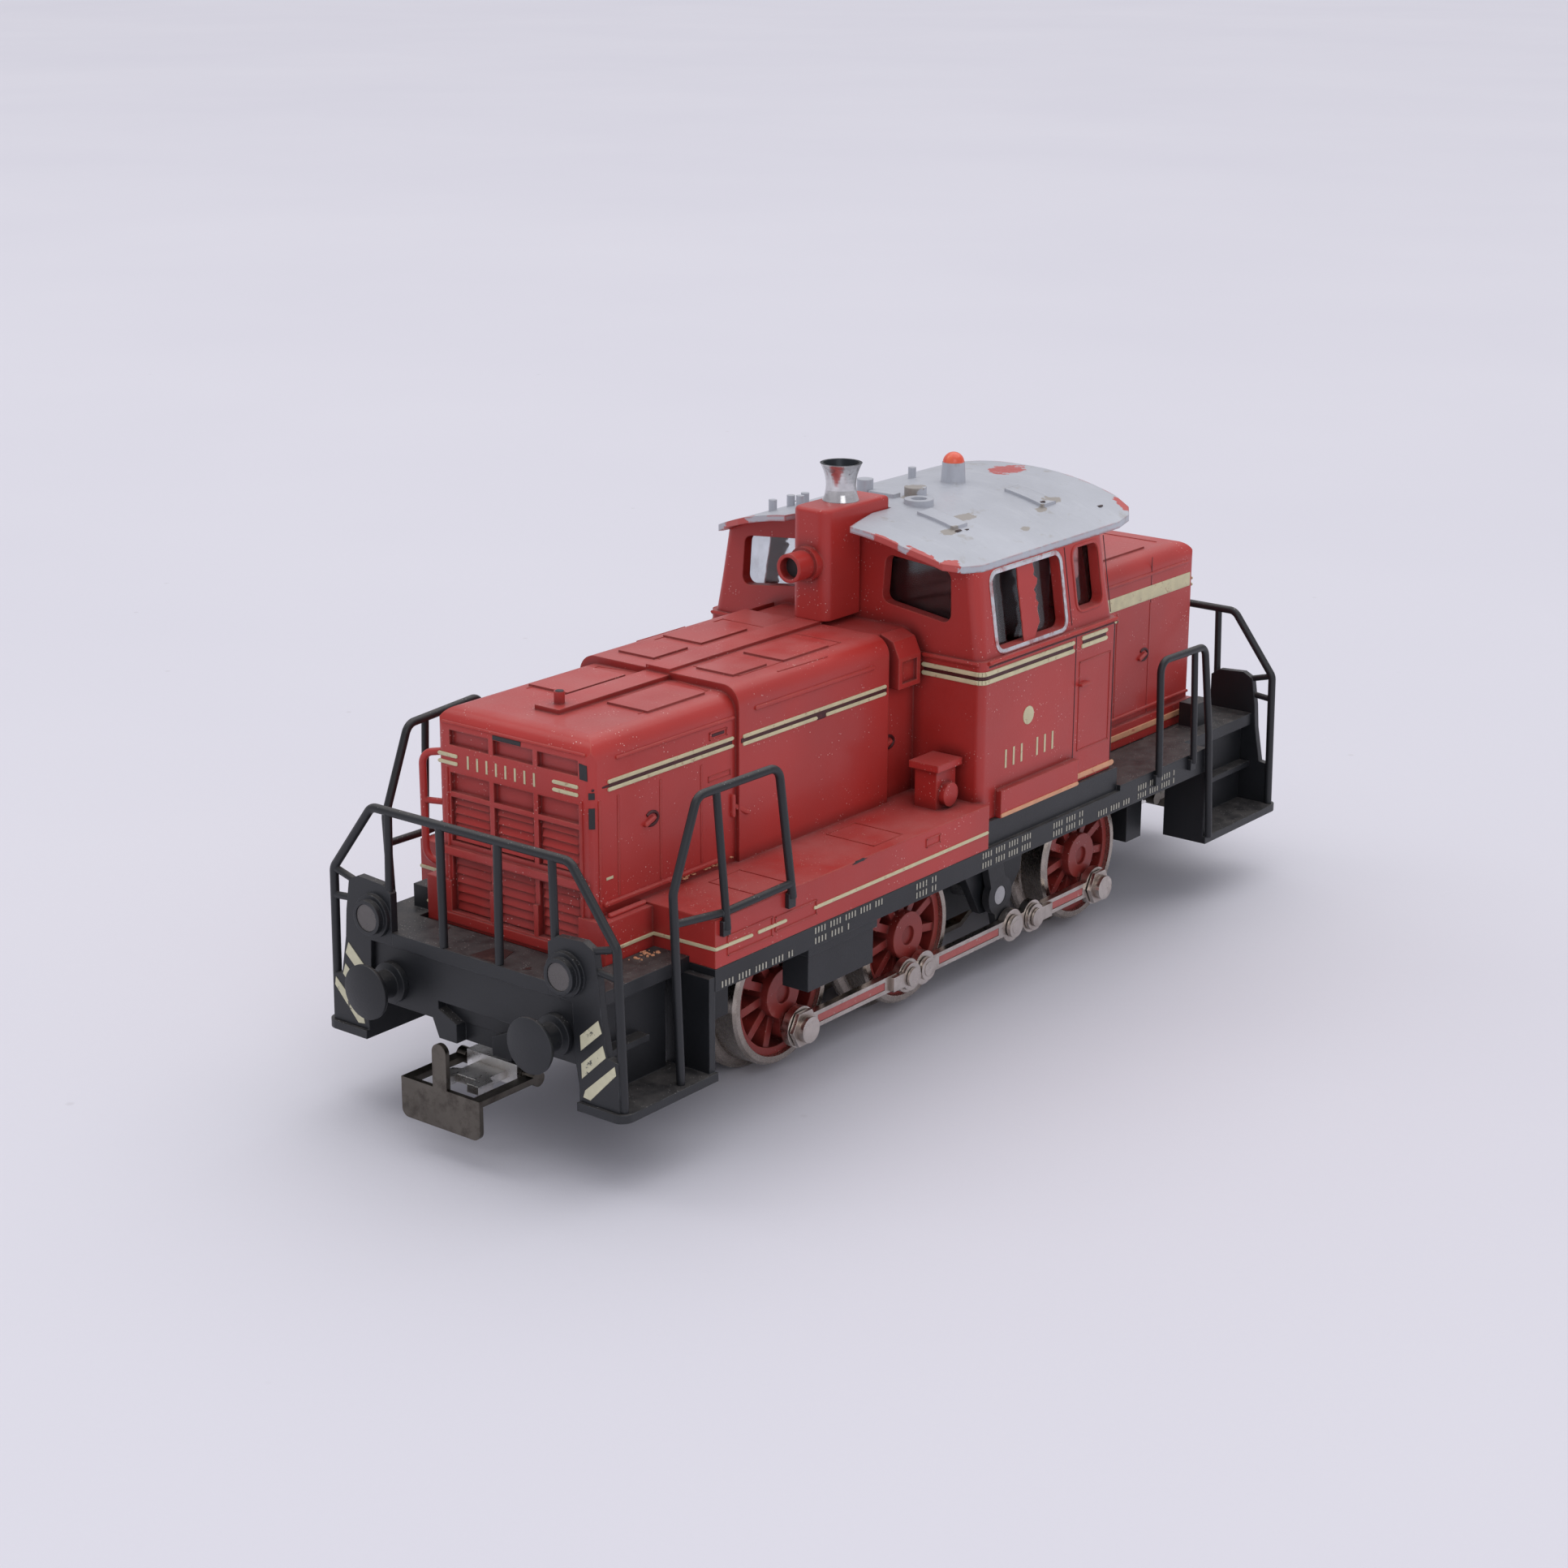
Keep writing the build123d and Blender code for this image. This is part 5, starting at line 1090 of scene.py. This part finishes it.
# ---- chips and crumbs on the platforms, flakes on the roof ------------------------------------------
PLATFORM_CHIPS = ((55.4, 6.1, 0.9), (-54.6, -3.0, 1.6), (-55.2, 5.0, 1.0), (52.6, -6.5, 0.8))
ROOF_FLAKES = ((-3.4, 10.1, 0.9), (-4.6, 10.3, 0.5), (-18.8, 9.9, 0.8), (-2.6, -9.4, 0.6), (-25.5, 12.6, 0.9))
EAST, NORTH = (1, 0, 0), (0, 1, 0)
chips, crumbs = bmesh.new(), bmesh.new()
patch = ((56.2, -0.2), (53.2, 0.3), (53.1, 2.3), (56.2, 3.3))
plate(chips, [(x, y, PLATFORM_TOP) for x, y in patch], UP, 0.04)
for x, y, size in PLATFORM_CHIPS:
    blot(chips, (x, y, PLATFORM_TOP), EAST, NORTH, (size, size * 0.7), UP, 0.03)
for x, y, size in ROOF_FLAKES:
    z = roof_z(y) + ROOF_LID * (abs(y) < 10.0)
    blot(chips, (x, y, z), EAST, NORTH, (size, size * 0.6), UP, 0.05)
for i in range(26):
    x = 45.0 + abs(rng.gauss(0, 1.6))
    y = rng.choice((1, 1, 1, -1)) * rng.uniform(11.05, 12.6)
    size = [rng.uniform(0.15, 0.5)] * 2
    blot(crumbs, (x, y, PLATFORM_TOP), EAST, NORTH, size, UP, rng.uniform(0.05, 0.16), 7)
for i in range(22):
    x = rng.uniform(31.0, 38.5)
    s = rng.choice((1, 1, -1))
    z = 22.75 + rng.uniform(-0.18, 0.12)
    size = (rng.uniform(0.3, 0.9), rng.uniform(0.1, 0.25))
    blot(crumbs, (x, s * (HOOD_HALF + 0.03), z), EAST, UP, size, outward(s), 0.3, 8)
piece("brown_chips", chips, FLAKE, "chassis")
piece("paint_crumbs", crumbs, PEACH, "chassis")

# ---- floor --------------------------------------------------------------------------------------
stage_plane = bmesh.new()
bmesh.ops.create_grid(stage_plane, x_segments=4, y_segments=4, size=8.0)
floor_mesh = bpy.data.meshes.new("floor")
stage_plane.to_mesh(floor_mesh)
stage_plane.free()
floor_mesh.materials.append(floor_paper())
floor = bpy.data.objects.new("floor", floor_mesh)
bpy.context.scene.collection.objects.link(floor)
floor.location.z = -0.02 * MM
